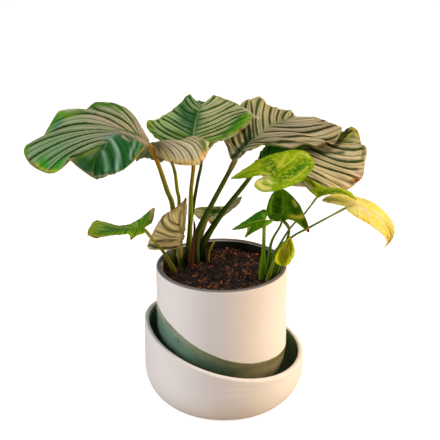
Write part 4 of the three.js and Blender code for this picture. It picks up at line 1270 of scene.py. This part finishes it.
class StageSettings(bpy.types.PropertyGroup):
    cool: size_setting("Cool light", "Power of the light on the left", 30.0, "POWER")
    warm: size_setting("Warm light", "Power of the light on the right", 54.0, "POWER")
    top: size_setting("Top light", "Power of the light from above", 18.0, "POWER")
    surround: bpy.props.FloatProperty(
        name="Surround", description="Brightness of the surroundings", default=0.06)
    distance: size_setting("Camera distance", "Camera to the middle of the plant", CAMERA_DISTANCE * MM)
    pitch: size_setting("Camera pitch", "Camera angle below the horizontal", CAMERA_PITCH, "ROTATION")


# Blades

def blade_values(blade, points, t, v):
    """Values of a blade's points that its skin reads: band count, place, colours and blemishes."""
    rows, columns = points.shape[:2]
    rib_line = even_curve(blade["rib"], np.linspace(0, 1, RIB_POINTS))[0]
    edges = {side: curve(blade[margin], np.linspace(0, 1, EDGE_POINTS))
             for side, margin in ((-1, "left"), (1, "right"))}
    phase = np.zeros((rows, columns))
    ground = np.zeros((rows, columns, 3))
    band = np.zeros((rows, columns, 3))
    from_edge = np.zeros((rows, columns))
    width = np.zeros((rows, columns))
    for side, record in zip((-1, 1), blade["halves"]):
        part = v < 0 if side < 0 else v >= 0
        phase[:, part], breadth = half_phase(record["bands"], t, np.abs(v[part]))
        ground[:, part] = record["ground"][:3]
        band[:, part] = record["band"][:3]
        slope = phase_slope(points[:, part], phase[:, part], t, v[part])
        width[:, part] = np.clip(breadth * slope, 0.03, 0.3)
        from_edge[:, part] = nearest(points[:, part], edges[side])
    left, right = (np.array(record["ground"][:3]) for record in blade["halves"])
    blend = smooth(v, -RIB_BLEND, RIB_BLEND)[None, :, None]
    near = (np.abs(v) < RIB_BLEND)[None, :, None]
    ground = np.where(near, left * (1 - blend) + right * blend, ground)
    for colour, radius, cover, *places in blade["marks"]:
        line = np.array([blade_point(blade, *place) for place in places])
        if len(line) > 1:
            line = curve(line, np.linspace(0, 1, STROKE_POINTS * len(line)))
        share = STROKE_STRENGTH * np.exp(-(nearest(points, line) / radius) ** 2)[..., None]
        target = np.array(seen(*colour)[:3])
        ground = ground * (1 - share) + target * share
        band = band * (1 - share * cover) + target * share * cover
    hurt = np.zeros((rows, columns))
    for at, over, radius in blade.get("brown", ()):
        distance = np.linalg.norm(points - blade_point(blade, at, over), axis=-1)
        hurt = np.maximum(hurt, np.exp(-(distance / radius / 1.4) ** 2))
    return dict(phase=phase, from_rib=nearest(points, rib_line), from_edge=from_edge,
                ground=ground, band=band, hurt=hurt, width=width)


def blade_mesh(blade, settings):
    """Points, faces and skin values of a thin closed blade."""
    pleat_scale, keel = blade["relief"], blade["keel"]
    rows, half_columns = settings.rows, settings.columns
    t = np.linspace(0, 1, rows + 1)[:-1]
    t = np.append(t, 1 - 0.25 / rows)
    reach = 0.5 - 0.5 * np.cos(np.pi * np.linspace(0, 1, half_columns + 1))
    v = np.concatenate([-reach[:0:-1], reach])
    left = blade_half(blade, -1, t, reach)[:, :0:-1]
    right = blade_half(blade, 1, t, reach)
    points = np.concatenate([left, right], axis=1)
    values = blade_values(blade, points, t, v)

    over = np.gradient(points, axis=1)
    ahead = np.gradient(points, axis=0)
    normal = np.cross(over, ahead)
    normal /= np.maximum(np.linalg.norm(normal, axis=-1, keepdims=True), 1e-9)
    outward = np.abs(v)[None, :]
    inside = smooth(outward, 0.03, 0.2) * (1 - 0.7 * smooth(outward, 0.75, 1.0))
    ends = (smooth(t, 0.0, 0.08) * (1 - smooth(t, 0.93, 1.0)))[:, None]
    pleat = -np.cos(4 * np.pi * values["phase"]) - 0.5 * np.cos(2 * np.pi * values["phase"])
    relief = pleat * settings.pleat / MM * pleat_scale * inside * ends
    shift = sum(ord(letter) for letter in blade["name"]) * 0.37
    wave = np.sin(2 * np.pi * (7.3 * t + shift)) + 0.6 * np.sin(2 * np.pi * (17.9 * t + shift * 2))
    wave = wave[:, None] * min(1, pleat_scale) * smooth(outward, 0.55, 1)
    relief = relief + settings.wave / MM * wave * ends
    groove = np.exp(-(values["from_rib"] / 1.1) ** 2) * (1 - 0.6 * t[:, None])
    relief = relief - 0.4 * groove
    middle = points + normal * relief[..., None]
    thinner = 1 - 0.6 * smooth(outward, 0.9, 1.0)
    half_thick = settings.thickness / MM / 2 * thinner * np.ones_like(relief)
    ridge = keel * (1 - t[:, None]) * np.exp(-(values["from_rib"] / (0.6 + keel)) ** 2)
    top = middle + normal * half_thick[..., None]
    low = middle - normal * (half_thick + ridge)[..., None]
    count = len(t) * len(v)
    faces = grid_faces(len(t), len(v)) + grid_faces(len(t), len(v), count, flip=True)
    border = list(range(len(v)))
    border += [i * len(v) + len(v) - 1 for i in range(1, len(t))]
    border += [(len(t) - 1) * len(v) + j for j in range(len(v) - 2, -1, -1)]
    border += [i * len(v) for i in range(len(t) - 2, 0, -1)]
    for a, b in zip(border, border[1:] + border[:1]):
        faces.append((b, a, a + count, b + count))

    def both(first, second, third_top, third_low):
        high = np.stack([first, second, third_top], axis=-1).reshape(-1, 3)
        under = np.stack([first, second, third_low], axis=-1).reshape(-1, 3)
        return np.vstack([high, under])

    ones = np.ones((len(t), len(v)))
    vein = both(values["phase"], v[None, :] * ones, ones, ones * 0)
    where = both(t[:, None] * ones, values["from_rib"], values["from_edge"], values["from_edge"])
    doubled = {key: np.vstack([values[key].reshape(-1, 3)] * 2) for key in ("ground", "band")}
    hurt = both(values["hurt"], values["width"], ones, ones)
    data = dict(vein=vein, where=where, hurt=hurt, **doubled)
    return np.vstack([top.reshape(-1, 3), low.reshape(-1, 3)]), faces, data


def blade_material(name, blade, settings):
    """Skin of one blade with its own colours. Only the vine's blades are mottled."""
    group = shared_group("blade skin", blade_group)
    values = {"Zone": seen(*blade["zone"]), "Rib": seen(*blade["rib_colour"]),
              "Spot": tuple(settings.spot), "Underside Share": blade["under"],
              "Vein Strength": settings.vein}
    if "mottle" in blade:
        values.update({"Band Shade": 0.1, "Vein Strength": 0.2, "Fold Shade": 0.03,
                       "Streaks": 0.15, "Mottle": blade["mottle"],
                       "Mottle Colour": seen(*blade["mottle_colour"]),
                       "Zone Width": 2.5, "Edge Width": 0.6, "Edge": seen(190, 186, 90),
                       "Rib Width": 1.1, "Underside": seen(140, 160, 80)})
    return group_material(name, group, values, 0.12, Specular_IOR_Level=blade["shine"])


def add_blades(records, shared, settings):
    """The blades of one plant, with the values that they share."""
    for name, record in records.items():
        blade = place_on_blade({**shared, **record, "name": name})
        points, faces, data = blade_mesh(blade, settings)
        material = blade_material(name + "_skin", blade, settings)
        make_piece(name + "_blade", points, faces, material, (name,), data)


# Stalks

def stalk_line(record, steps):
    """Centre line of a stalk, from a little below the soil to a little way under its blade."""
    x, y, z = record["path"][0]
    points = [(x, y, z - STALK_DEPTH), *record["path"]]
    if record["blade"]:
        blade = {**CALATHEA_BLADES, **VINE_BLADES}[record["blade"]]
        points.append(blade["rib"][0])
    return even_curve(points, np.linspace(0, 1, steps + 1))[0]


def add_stalk(name, record, settings, group):
    centres = stalk_line(record, STALK_STEPS)
    run = np.concatenate([[0], np.cumsum(np.linalg.norm(np.diff(centres, axis=0), axis=1))])
    share = run / run[-1]
    low, high = record["radii"]
    radius = low + (high - low) * share
    radius = radius * (1 + settings.foot * (1 - smooth(run, 24, 70)))
    joint = np.zeros_like(run)
    if record["blade"]:
        joint = smooth(run, run[-1] - settings.joint / MM, run[-1] - settings.joint / MM * 0.6)
        radius = radius * (1 - 0.12 * smooth(share, 0.4, 0.8) + 0.28 * joint)
        radius = radius * (1 - 0.35 * smooth(run, run[-1] - 4, run[-1]))
    else:
        radius = radius * (1 - 0.75 * smooth(share, 0.9, 1.0))
    sway = 0.03 * np.sin(run / 9 + low * 5) + 0.02 * np.sin(run / 3.1)
    radius = radius * (1 + sway)

    def channel(angle):
        return 1 - 0.1 * np.exp(-((angle - math.pi) / 0.7) ** 2) + 0.025 * np.cos(5 * angle)

    points, faces = tube(centres, radius, settings.sides, channel)
    ring = np.ones(settings.sides)
    angle = np.arange(settings.sides) / settings.sides
    along = np.stack([np.outer(share, ring), np.outer(np.ones(len(run)), angle),
                      np.outer(joint, ring)], axis=-1).reshape(-1, 3)
    joint_colour = tuple(0.7 * a + 0.3 * b for a, b in zip(record["high"], seen(190, 176, 110)))
    dark_foot = low > THICK_STALK and record["blade"] and "vine" not in name
    values = {"Low": record["low"], "High": record["high"], "Joint": joint_colour,
              "Foot": 0.9 if dark_foot else 0.1}
    material = group_material(name + "_skin", group, values, 0.15, Specular_IOR_Level=0.25)
    make_piece(name + "_stem", points, faces, material, (name,), dict(along=along))


# Pot and saucer

def line_height(x):
    """Height of the slanted glaze line over a place on the pot, x from its axis."""
    level, slope, curl = GLAZE_LINE
    return level + slope * x + curl * x * x


def pot_profile():
    """Section of the pot from the drain hole out, up, over the rim and back inside."""
    top = POT_TOP - POT_BOTTOM
    profile = [(DRAIN_RADIUS, 0)] + bowl_section(POT_FLAT, POT_OUTER, 0, POT_BEND)
    profile += wall_section(POT_OUTER, POT_BEND, top - LIP_HEIGHT)
    profile += lip_section(POT_OUTER, POT_INNER, top)
    profile += wall_section(POT_INNER, top - LIP_HEIGHT, POT_BEND)
    profile += bowl_section(POT_WELL_FLAT, POT_INNER, POT_FLOOR, POT_BEND - POT_FLOOR)[::-1]
    profile += [(DRAIN_RADIUS, POT_FLOOR)]
    return profile


def add_pot(settings):
    profile = pot_profile()
    points, faces = lathe(profile, settings.segments)
    x, y, z = points.T
    radius = np.hypot(x, y)
    height = z + POT_BOTTOM
    bowl = bowl_height(radius, POT_FLAT, POT_OUTER, POT_BEND, POT_BEND)
    on_bowl = (z < POT_BEND) & (radius > POT_FLAT + 1) & (z < bowl + 0.5)
    outer = (radius > POT_OUTER - 0.1) | on_bowl
    below = line_height(x) - height
    thicker = np.where(outer, 0.3 * smooth(below, -0.3, 0.8), 0)
    angle = np.arctan2(y, x)
    uneven = 0.18 * np.sin(2 * angle + 0.6) + 0.1 * np.sin(3 * angle + z / 40) + 0.05 * np.sin(z / 2.6)
    scale = (radius + np.where(outer, thicker + uneven, 0)) / np.maximum(radius, 1)
    top = POT_TOP - POT_BOTTOM
    inward = np.clip((POT_OUTER - radius) / (POT_OUTER - POT_INNER), 0, 1)
    rim = smooth(z, top - 1.6, top - 0.8) * (radius > POT_INNER - 0.1)
    inner = np.where(outer, 0.0, 1.0) * (1 - rim) * (radius < POT_INNER + 0.1)
    placed = np.stack([x * scale + POT_X, y * scale, height], axis=-1)
    ones = np.ones(len(points))
    glaze = np.stack([np.where(inner > 0.5, -200, below), rim, inward], axis=-1)
    side = np.stack([x / POT_OUTER, inner, ones], axis=-1)

    material, tree, principled, relief = new_material("pot_glaze_finish", 0.25)
    below_line, rim_share, over_rim = tree.parts(tree.attribute("glaze"))
    across, inside, _ = tree.parts(tree.attribute("side"))
    clay = grained(tree, tuple(settings.clay), 0.03, 25.0, 0.02, 1500.0, 0.62, 0.15)
    bare = grained(tree, tuple(settings.rim), 0.25, 60.0, 0.3, 1300.0, 0.8)
    place = tree.place()
    ragged = tree.spread(tree.noise(place, 60.0, 3.0), 2.6)
    depth = tree.plus(below_line, ragged)
    # Painted reflection of the lights: the green turns lighter and bluer to the left and olive to the right.
    colour = tree.mix(tree.step(across, -0.8, 0.0), seen(108, 138, 118), tuple(settings.green))
    colour = tree.mix(tree.step(across, 0.0, 0.65), colour, seen(142, 134, 100))
    # Painted reflection in a strip below the glaze line: pale grey-green on the left, olive on the right.
    upper = tree.mix(tree.step(across, -0.8, 0.2), seen(146, 152, 124), seen(104, 104, 60))
    reflection_strip = tree.times(tree.fall(depth, 3.0, 13.0), 0.8)
    colour = tree.mix(reflection_strip, colour, upper)
    cloudy = tree.times(tree.step(tree.noise(place, 70.0, 4.0, 0.6), 0.45, 0.75), 0.35)
    colour = tree.mix(cloudy, colour, seen(46, 62, 44))
    glazed = grained(tree, colour, 0.25, 50.0, 0.15, 500.0, 0.16)
    dipped = tree.step(depth, 0.0, 1.2)
    # A cream line along the thicker edge of the white glaze, painted as a highlight.
    line = tree.times(tree.step(depth, -1.0, 0.0), tree.fall(depth, 0.2, 1.6))
    base = tree.mix(dipped, clay["Colour"], glazed["Colour"])
    base = tree.mix(tree.times(line, 0.6), base, seen(238, 232, 214))
    rim_tone = tree.mix(tree.step(over_rim, 0.0, 0.2), seen(124, 120, 120), bare["Colour"])
    base = tree.mix(rim_share, base, rim_tone)
    # Inside, the wall is near-black, with cream painted where light falls at the far left.
    well = tree.mix(tree.step(across, -0.8, -0.55), seen(206, 190, 176), seen(34, 36, 28))
    base = tree.mix(inside, base, well)
    tree.feed(principled.inputs["Base Color"], base)
    gloss = tree.math("MAXIMUM", dipped, tree.times(inside, 0.6))
    mixed = tree.mix_value(gloss, clay["Roughness"], glazed["Roughness"])
    rough = tree.math("MAXIMUM", mixed, tree.times(rim_share, 0.75))
    tree.feed(principled.inputs["Roughness"], rough)
    tree.feed(relief.inputs["Height"], tree.times(clay["Height"], 0.3))
    make_piece("pot_body", placed, faces, material, ("pot",), dict(glaze=glaze, side=side))


def saucer_profile():
    """Section of the saucer from the middle of its foot out, up, over the rim and back inside."""
    profile = [(0, 0)] + bowl_section(SAUCER_FLAT, SAUCER_OUTER, 0, SAUCER_BEND)
    profile += wall_section(SAUCER_OUTER, SAUCER_BEND, SAUCER_TOP - LIP_HEIGHT)
    profile += lip_section(SAUCER_OUTER, SAUCER_INNER, SAUCER_TOP)
    profile += wall_section(SAUCER_INNER, SAUCER_TOP - LIP_HEIGHT, SAUCER_BEND)
    well = SAUCER_BEND - SAUCER_FLOOR
    profile += bowl_section(SAUCER_WELL_FLAT, SAUCER_INNER, SAUCER_FLOOR, well)[::-1]
    profile += [(0, SAUCER_FLOOR)]
    return profile


def add_saucer(settings):
    points, faces = lathe(saucer_profile(), settings.segments)
    x, y, z = points.T
    radius = np.hypot(x, y)
    start = SADDLE["start"]
    wall_top = SAUCER_TOP - LIP_HEIGHT
    share = np.clip((z - start) / (wall_top - start), 0, 1)
    slant = SADDLE["dip"] * (y - np.hypot(y, SADDLE["dip_start"])) - SADDLE["fall"] * x
    bowl = bowl_height(radius, SAUCER_WELL_FLAT, SAUCER_INNER, SAUCER_BEND, SAUCER_BEND - SAUCER_FLOOR)
    in_well = (z > SAUCER_FLOOR - 0.1) & (radius < SAUCER_INNER + 0.05)
    on_bowl = (radius < SAUCER_WELL_FLAT + 0.1) | (np.abs(z - bowl) < 0.5) | (z >= SAUCER_BEND)
    inner = in_well & on_bowl
    lip = smooth(z, wall_top - 1, wall_top + 0.1)
    over = np.clip((SAUCER_OUTER - radius) / (SAUCER_OUTER - SAUCER_INNER), 0, 1)
    angle = np.arctan2(y, x)
    uneven = 0.2 * np.sin(2 * angle + 2) + 0.08 * np.sin(z / 2.4)
    uneven = np.where(inner, 0, uneven) * smooth(z, 0, 6)
    scale = (radius + uneven) / np.maximum(radius, 1)
    placed = np.stack([x * scale, y * scale, z + share * slant], axis=-1)
    inside = np.stack([inner.astype(float), lip, over], axis=-1)

    material, tree, principled, relief = new_material("saucer_glaze_finish", 0.25)
    well, on_lip, over_lip = tree.parts(tree.attribute("inside"))
    clay = grained(tree, tuple(settings.clay), 0.035, 25.0, 0.02, 1500.0, 0.6, 0.15)
    dark = grained(tree, seen(110, 138, 104), 0.3, 60.0, 0.2, 700.0, 0.12)
    place = tree.place()
    ragged = tree.spread(tree.noise(place, 90.0, 3.0), 0.25)
    below_lip = tree.times(well, tree.fall(on_lip, 0.2, 0.6))
    past_lip = tree.step(tree.plus(over_lip, ragged), 0.86, 0.93)
    covered = tree.math("MAXIMUM", below_lip, tree.times(on_lip, past_lip))
    base = tree.mix(covered, clay["Colour"], dark["Colour"])
    tree.feed(principled.inputs["Base Color"], base)
    mixed = tree.mix_value(covered, clay["Roughness"], dark["Roughness"])
    tree.feed(principled.inputs["Roughness"], mixed)
    tree.feed(relief.inputs["Height"], tree.times(clay["Height"], 0.3))
    make_piece("saucer_body", placed, faces, material, ("saucer",), dict(inside=inside))


# Soil

def soil_height(x, y):
    """Height of the uneven soil over a place, in millimetres."""
    share = min(1.0, math.hypot(x - POT_X, y) / SOIL_RADIUS)
    swell = noise.fractal(Vector((x, y, 3.1)) * 0.11, 1.0, 2.0, 4)
    crumb = noise.fractal(Vector((x, y, 9.7)) * 0.42, 1.0, 2.1, 3)
    return SOIL_TOP + SOIL_MOUND * (1 - share ** 2) + 1.5 * swell + 0.7 * crumb


def soil_material(name, low, high, scale, bump):
    """Damp matter in two tones, with near-black patches of painted shade."""
    material, tree, principled, relief = new_material(name, bump)
    place = tree.place()
    colour = tree.mix(tree.step(tree.noise(place, scale, 4.0, 0.65), 0.42, 0.66), low, high)
    # Near-black patches of painted shade, as in the shaded gaps of the soil.
    painted_shade_patches = tree.times(tree.step(tree.noise(place, 46.0, 3.0), 0.45, 0.54), 0.82)
    colour = tree.mix(painted_shade_patches, colour, seen(8, 5, 4))
    feed_look(tree, principled, relief, grained(tree, colour, 0.4, 90.0, 0.5, 1400.0, 0.9))
    return material


def add_soil_bed():
    """The body of the soil with its uneven top."""
    rings, segments = 70, 180
    foot = POT_BOTTOM + SOIL_FOOT
    profile = [(0, foot)] + bowl_section(SOIL_FLAT, SOIL_RADIUS, foot, SOIL_BEND, 10)
    profile += [(SOIL_RADIUS, SOIL_TOP - 12)]
    profile += [(SOIL_RADIUS * (1 - k / rings), SOIL_TOP) for k in range(rings + 1)]
    points, faces = lathe(profile, segments)
    points[:, 0] += POT_X
    for k in np.where(points[:, 2] > SOIL_TOP - 1)[0]:
        points[k, 2] = soil_height(points[k, 0], points[k, 1])
    material = soil_material("soil_finish", seen(8, 5, 3), seen(104, 58, 34), 260.0, 0.8)
    make_piece("soil_bed", points, faces, material, ("soil",))


def random_spot(draw, margin):
    """A place on the soil that keeps a margin from the pot."""
    radius = (SOIL_RADIUS - margin) * math.sqrt(draw.random())
    angle = draw.random() * 2 * math.pi
    return POT_X + radius * math.cos(angle), radius * math.sin(angle)


def lump(draw, size, flatness, count=14):
    """Points and faces of an irregular convex piece."""
    mesh = bmesh.new()
    for _ in range(count):
        direction = Vector([draw.gauss(0, 1) for _ in range(3)]).normalized()
        direction.x *= size * draw.uniform(0.8, 1)
        direction.y *= size * 0.6
        direction.z *= size * flatness
        mesh.verts.new(direction)
    result = bmesh.ops.convex_hull(mesh, input=mesh.verts)
    loose = [item for item in result["geom_interior"] if isinstance(item, bmesh.types.BMVert)]
    bmesh.ops.delete(mesh, geom=loose, context="VERTS")
    mesh.verts.index_update()
    points = [tuple(vert.co) for vert in mesh.verts]
    faces = [tuple(vert.index for vert in face.verts) for face in mesh.faces]
    mesh.free()
    return points, faces


def join(points, faces, part, part_faces):
    """Adds the points and faces of one more part to those of a piece."""
    start = len(points)
    points.extend(part)
    faces.extend(tuple(start + k for k in face) for face in part_faces)


def scatter(name, count, sizes, flatness, sink, material, draw):
    """Irregular pieces that lie on the soil, joined into one."""
    points, faces = [], []
    for _ in range(count):
        size = draw.uniform(*sizes)
        part, part_faces = lump(draw, size, flatness)
        x, y = random_spot(draw, size + 1)
        turn = Matrix.Rotation(draw.uniform(0, 2 * math.pi), 3, "Z")
        for axis in ("X", "Y"):
            turn = turn @ Matrix.Rotation(draw.gauss(0, SOIL_TILT), 3, axis)
        base = Vector((x, y, soil_height(x, y) + size * flatness * sink))
        join(points, faces, [tuple(base + turn @ Vector(point)) for point in part], part_faces)
    return make_piece(name, points, faces, material)


def add_fibres(count, draw):
    """Thin loose fibres and strips that lie on the soil."""
    points, faces = [], []
    for _ in range(count):
        x, y = random_spot(draw, 14)
        length = draw.uniform(5, 17)
        heading = draw.uniform(0, 2 * math.pi)
        bend = draw.gauss(0, 0.9)
        line = []
        for k in range(FIBRE_STEPS + 1):
            share = k / FIBRE_STEPS
            angle = heading + bend * share
            x += math.cos(angle) * length / FIBRE_STEPS
            y += math.sin(angle) * length / FIBRE_STEPS
            rise = 0.6 + 1.6 * draw.random() * math.sin(math.pi * share)
            line.append((x, y, soil_height(x, y) + rise))
        radius = draw.uniform(0.22, 0.45)
        fine = curve(line, np.linspace(0, 1, 2 * FIBRE_STEPS + 1))
        taper = 1 - 0.6 * np.abs(np.linspace(-1, 1, len(fine)))
        part, part_faces = tube(fine, radius * taper, 6)
        join(points, faces, part.tolist(), part_faces)
    material = soil_material("fibre_finish", seen(84, 52, 32), seen(158, 120, 88), 300.0, 0.1)
    make_piece("soil_fibres", points, faces, material)


# Operators, one for each piece or group of like pieces

class PLANT_OT_stage(bpy.types.Operator):
    """Lay the floor and set the lights and the camera"""
    bl_idname = "potted_plant.stage"
    bl_label = "Stage"

    def execute(self, context):
        settings = context.scene.plant_stage
        mesh = bpy.data.meshes.new("floor")
        radii = [FLOOR_STEP * k for k in range(FLOOR_RINGS + 1)]
        profile = [(radius, 0) for radius in radii]
        profile += [(radii[-1], -FLOOR_THICKNESS), (0, -FLOOR_THICKNESS)]
        points, faces = lathe(profile, 64)
        mesh.from_pydata((points * MM).tolist(), [], faces)
        floor = bpy.data.objects.new("floor", mesh)
        context.scene.collection.objects.link(floor)
        mesh.materials.append(self.floor_finish())
        for name, (place, size, colour) in LIGHTS.items():
            self.add_light(name + "_light", place, size, getattr(settings, name), colour)
        self.add_camera(context, settings)
        self.add_surround(context, settings)
        context.scene.view_settings.view_transform = "Standard"
        return {"FINISHED"}

    def floor_finish(self):
        """Pale floor that glows to the eye alone, so that it stays white in a dim studio."""
        material, tree, principled, relief = new_material("floor_finish", 0.02, Roughness=0.7)
        look = grained(tree, seen(200, 188, 172), 0.01, 3.0, 0.005, 300.0, 0.7)
        tree.feed(principled.inputs["Base Color"], look["Colour"])
        tree.feed(relief.inputs["Height"], look["Height"])
        to_eye = tree.add("ShaderNodeLightPath").outputs["Is Camera Ray"]
        glow = tree.mix(to_eye, (0.0, 0.0, 0.0, 1.0), (0.97, 0.98, 1.0, 1.0))
        tree.feed(principled.inputs["Emission Color"], glow)
        principled.inputs["Emission Strength"].default_value = 0.85
        return material

    def add_surround(self, context, settings):
        world = bpy.data.worlds.new("studio")
        context.scene.world = world
        world.use_nodes = True
        tree = Tree(world.node_tree)
        backdrop = world.node_tree.nodes["Background"]
        backdrop.inputs["Color"].default_value = (1.0, 0.98, 0.96, 1.0)
        to_eye = tree.add("ShaderNodeLightPath").outputs["Is Camera Ray"]
        bright = tree.times(to_eye, 1.0 - settings.surround)
        tree.feed(backdrop.inputs["Strength"], tree.plus(bright, settings.surround))

    def add_light(self, name, place, size, power, colour):
        light = bpy.data.lights.new(name, "AREA")
        light.shape = "RECTANGLE"
        light.size, light.size_y = size
        light.energy = power
        light.color = colour
        lamp = bpy.data.objects.new(name, light)
        lamp.location = place
        toward = Vector(LIGHT_AIM) - Vector(place)
        lamp.rotation_euler = toward.to_track_quat("-Z", "Y").to_euler()
        bpy.context.scene.collection.objects.link(lamp)

    def add_camera(self, context, settings):
        camera = bpy.data.cameras.new("camera")
        camera.sensor_width = CAMERA_SENSOR
        camera.lens = CAMERA_LENS
        camera.clip_end = 50
        holder = bpy.data.objects.new("camera", camera)
        aim = Vector([value * MM for value in CAMERA_AIM])
        ahead = Vector((0, math.cos(settings.pitch), -math.sin(settings.pitch)))
        holder.location = aim - ahead * settings.distance
        holder.rotation_euler = (math.pi / 2 - settings.pitch, 0, 0)
        context.scene.collection.objects.link(holder)
        context.scene.camera = holder


class PLANT_OT_pot(bpy.types.Operator):
    """Turn the pot with its bare rim and its slanted dip of green glaze"""
    bl_idname = "potted_plant.pot"
    bl_label = "Pot"

    def execute(self, context):
        add_pot(context.scene.plant_pot)
        return {"FINISHED"}


class PLANT_OT_saucer(bpy.types.Operator):
    """Turn the bowl-shaped saucer with its slanted rim"""
    bl_idname = "potted_plant.saucer"
    bl_label = "Saucer"

    def execute(self, context):
        add_saucer(context.scene.plant_pot)
        return {"FINISHED"}


class PLANT_OT_soil(bpy.types.Operator):
    """Fill the pot with soil, bark, grit and fibres"""
    bl_idname = "potted_plant.soil"
    bl_label = "Soil"

    def execute(self, context):
        settings = context.scene.plant_soil
        draw = random.Random(settings.seed)
        add_soil_bed()
        bark = soil_material("bark_finish", seen(10, 6, 4), seen(172, 100, 64), 220.0, 0.4)
        scatter("soil_bark", settings.bark, (1.1, 4.4), 0.45, 0.5, bark, draw)
        pale = soil_material("grit_finish", seen(176, 168, 156), seen(226, 222, 214), 500.0, 0.2)
        scatter("soil_grit", settings.grit, (0.5, 1.1), 0.8, 0.7, pale, draw)
        add_fibres(settings.fibres, draw)
        return {"FINISHED"}


class PLANT_OT_stalks(bpy.types.Operator):
    """Grow the stalks and the sheaths at their feet"""
    bl_idname = "potted_plant.stalks"
    bl_label = "Stalks"

    def execute(self, context):
        settings = context.scene.plant_stalks
        group = shared_group("stem skin", stem_group)
        for name, record in {**STALKS, **SHEATHS}.items():
            add_stalk(name, record, settings, group)
        return {"FINISHED"}


class PLANT_OT_calathea(bpy.types.Operator):
    """Grow the banded round blades"""
    bl_idname = "potted_plant.calathea"
    bl_label = "Calathea blades"

    def execute(self, context):
        add_blades(CALATHEA_BLADES, CALATHEA, context.scene.plant_blades)
        return {"FINISHED"}


class PLANT_OT_vine(bpy.types.Operator):
    """Grow the arrowhead vine's blades"""
    bl_idname = "potted_plant.vine"
    bl_label = "Vine blades"

    def execute(self, context):
        add_blades(VINE_BLADES, VINE, context.scene.plant_blades)
        return {"FINISHED"}


class PLANT_PT_panel(bpy.types.Panel):
    """Settings and pieces of the potted plant"""
    bl_label = "Potted calathea"
    bl_idname = "PLANT_PT_panel"
    bl_space_type = "VIEW_3D"
    bl_region_type = "UI"
    bl_category = "Plant"

    def draw(self, context):
        for kind in SETTINGS:
            group = getattr(context.scene, kind)
            box = self.layout.box()
            for label in group.__annotations__:
                box.prop(group, label)
        for operator in OPERATORS:
            self.layout.operator(operator.bl_idname)


SETTINGS = {"plant_stage": StageSettings, "plant_pot": PotSettings, "plant_soil": SoilSettings,
            "plant_stalks": StalkSettings, "plant_blades": BladeSettings}
OPERATORS = (PLANT_OT_stage, PLANT_OT_saucer, PLANT_OT_pot, PLANT_OT_soil, PLANT_OT_stalks,
             PLANT_OT_calathea, PLANT_OT_vine)


def register():
    for kind in (*SETTINGS.values(), *OPERATORS, PLANT_PT_panel):
        bpy.utils.register_class(kind)
    for name, kind in SETTINGS.items():
        setattr(bpy.types.Scene, name, bpy.props.PointerProperty(type=kind))


def unregister():
    for name in SETTINGS:
        delattr(bpy.types.Scene, name)
    for kind in (PLANT_PT_panel, *reversed(OPERATORS), *reversed(SETTINGS.values())):
        bpy.utils.unregister_class(kind)


def main():
    register()
    bpy.ops.potted_plant.stage()
    bpy.ops.potted_plant.saucer()
    bpy.ops.potted_plant.pot()
    bpy.ops.potted_plant.soil()
    bpy.ops.potted_plant.stalks()
    bpy.ops.potted_plant.calathea()
    bpy.ops.potted_plant.vine()


if __name__ == "__main__":
    main()
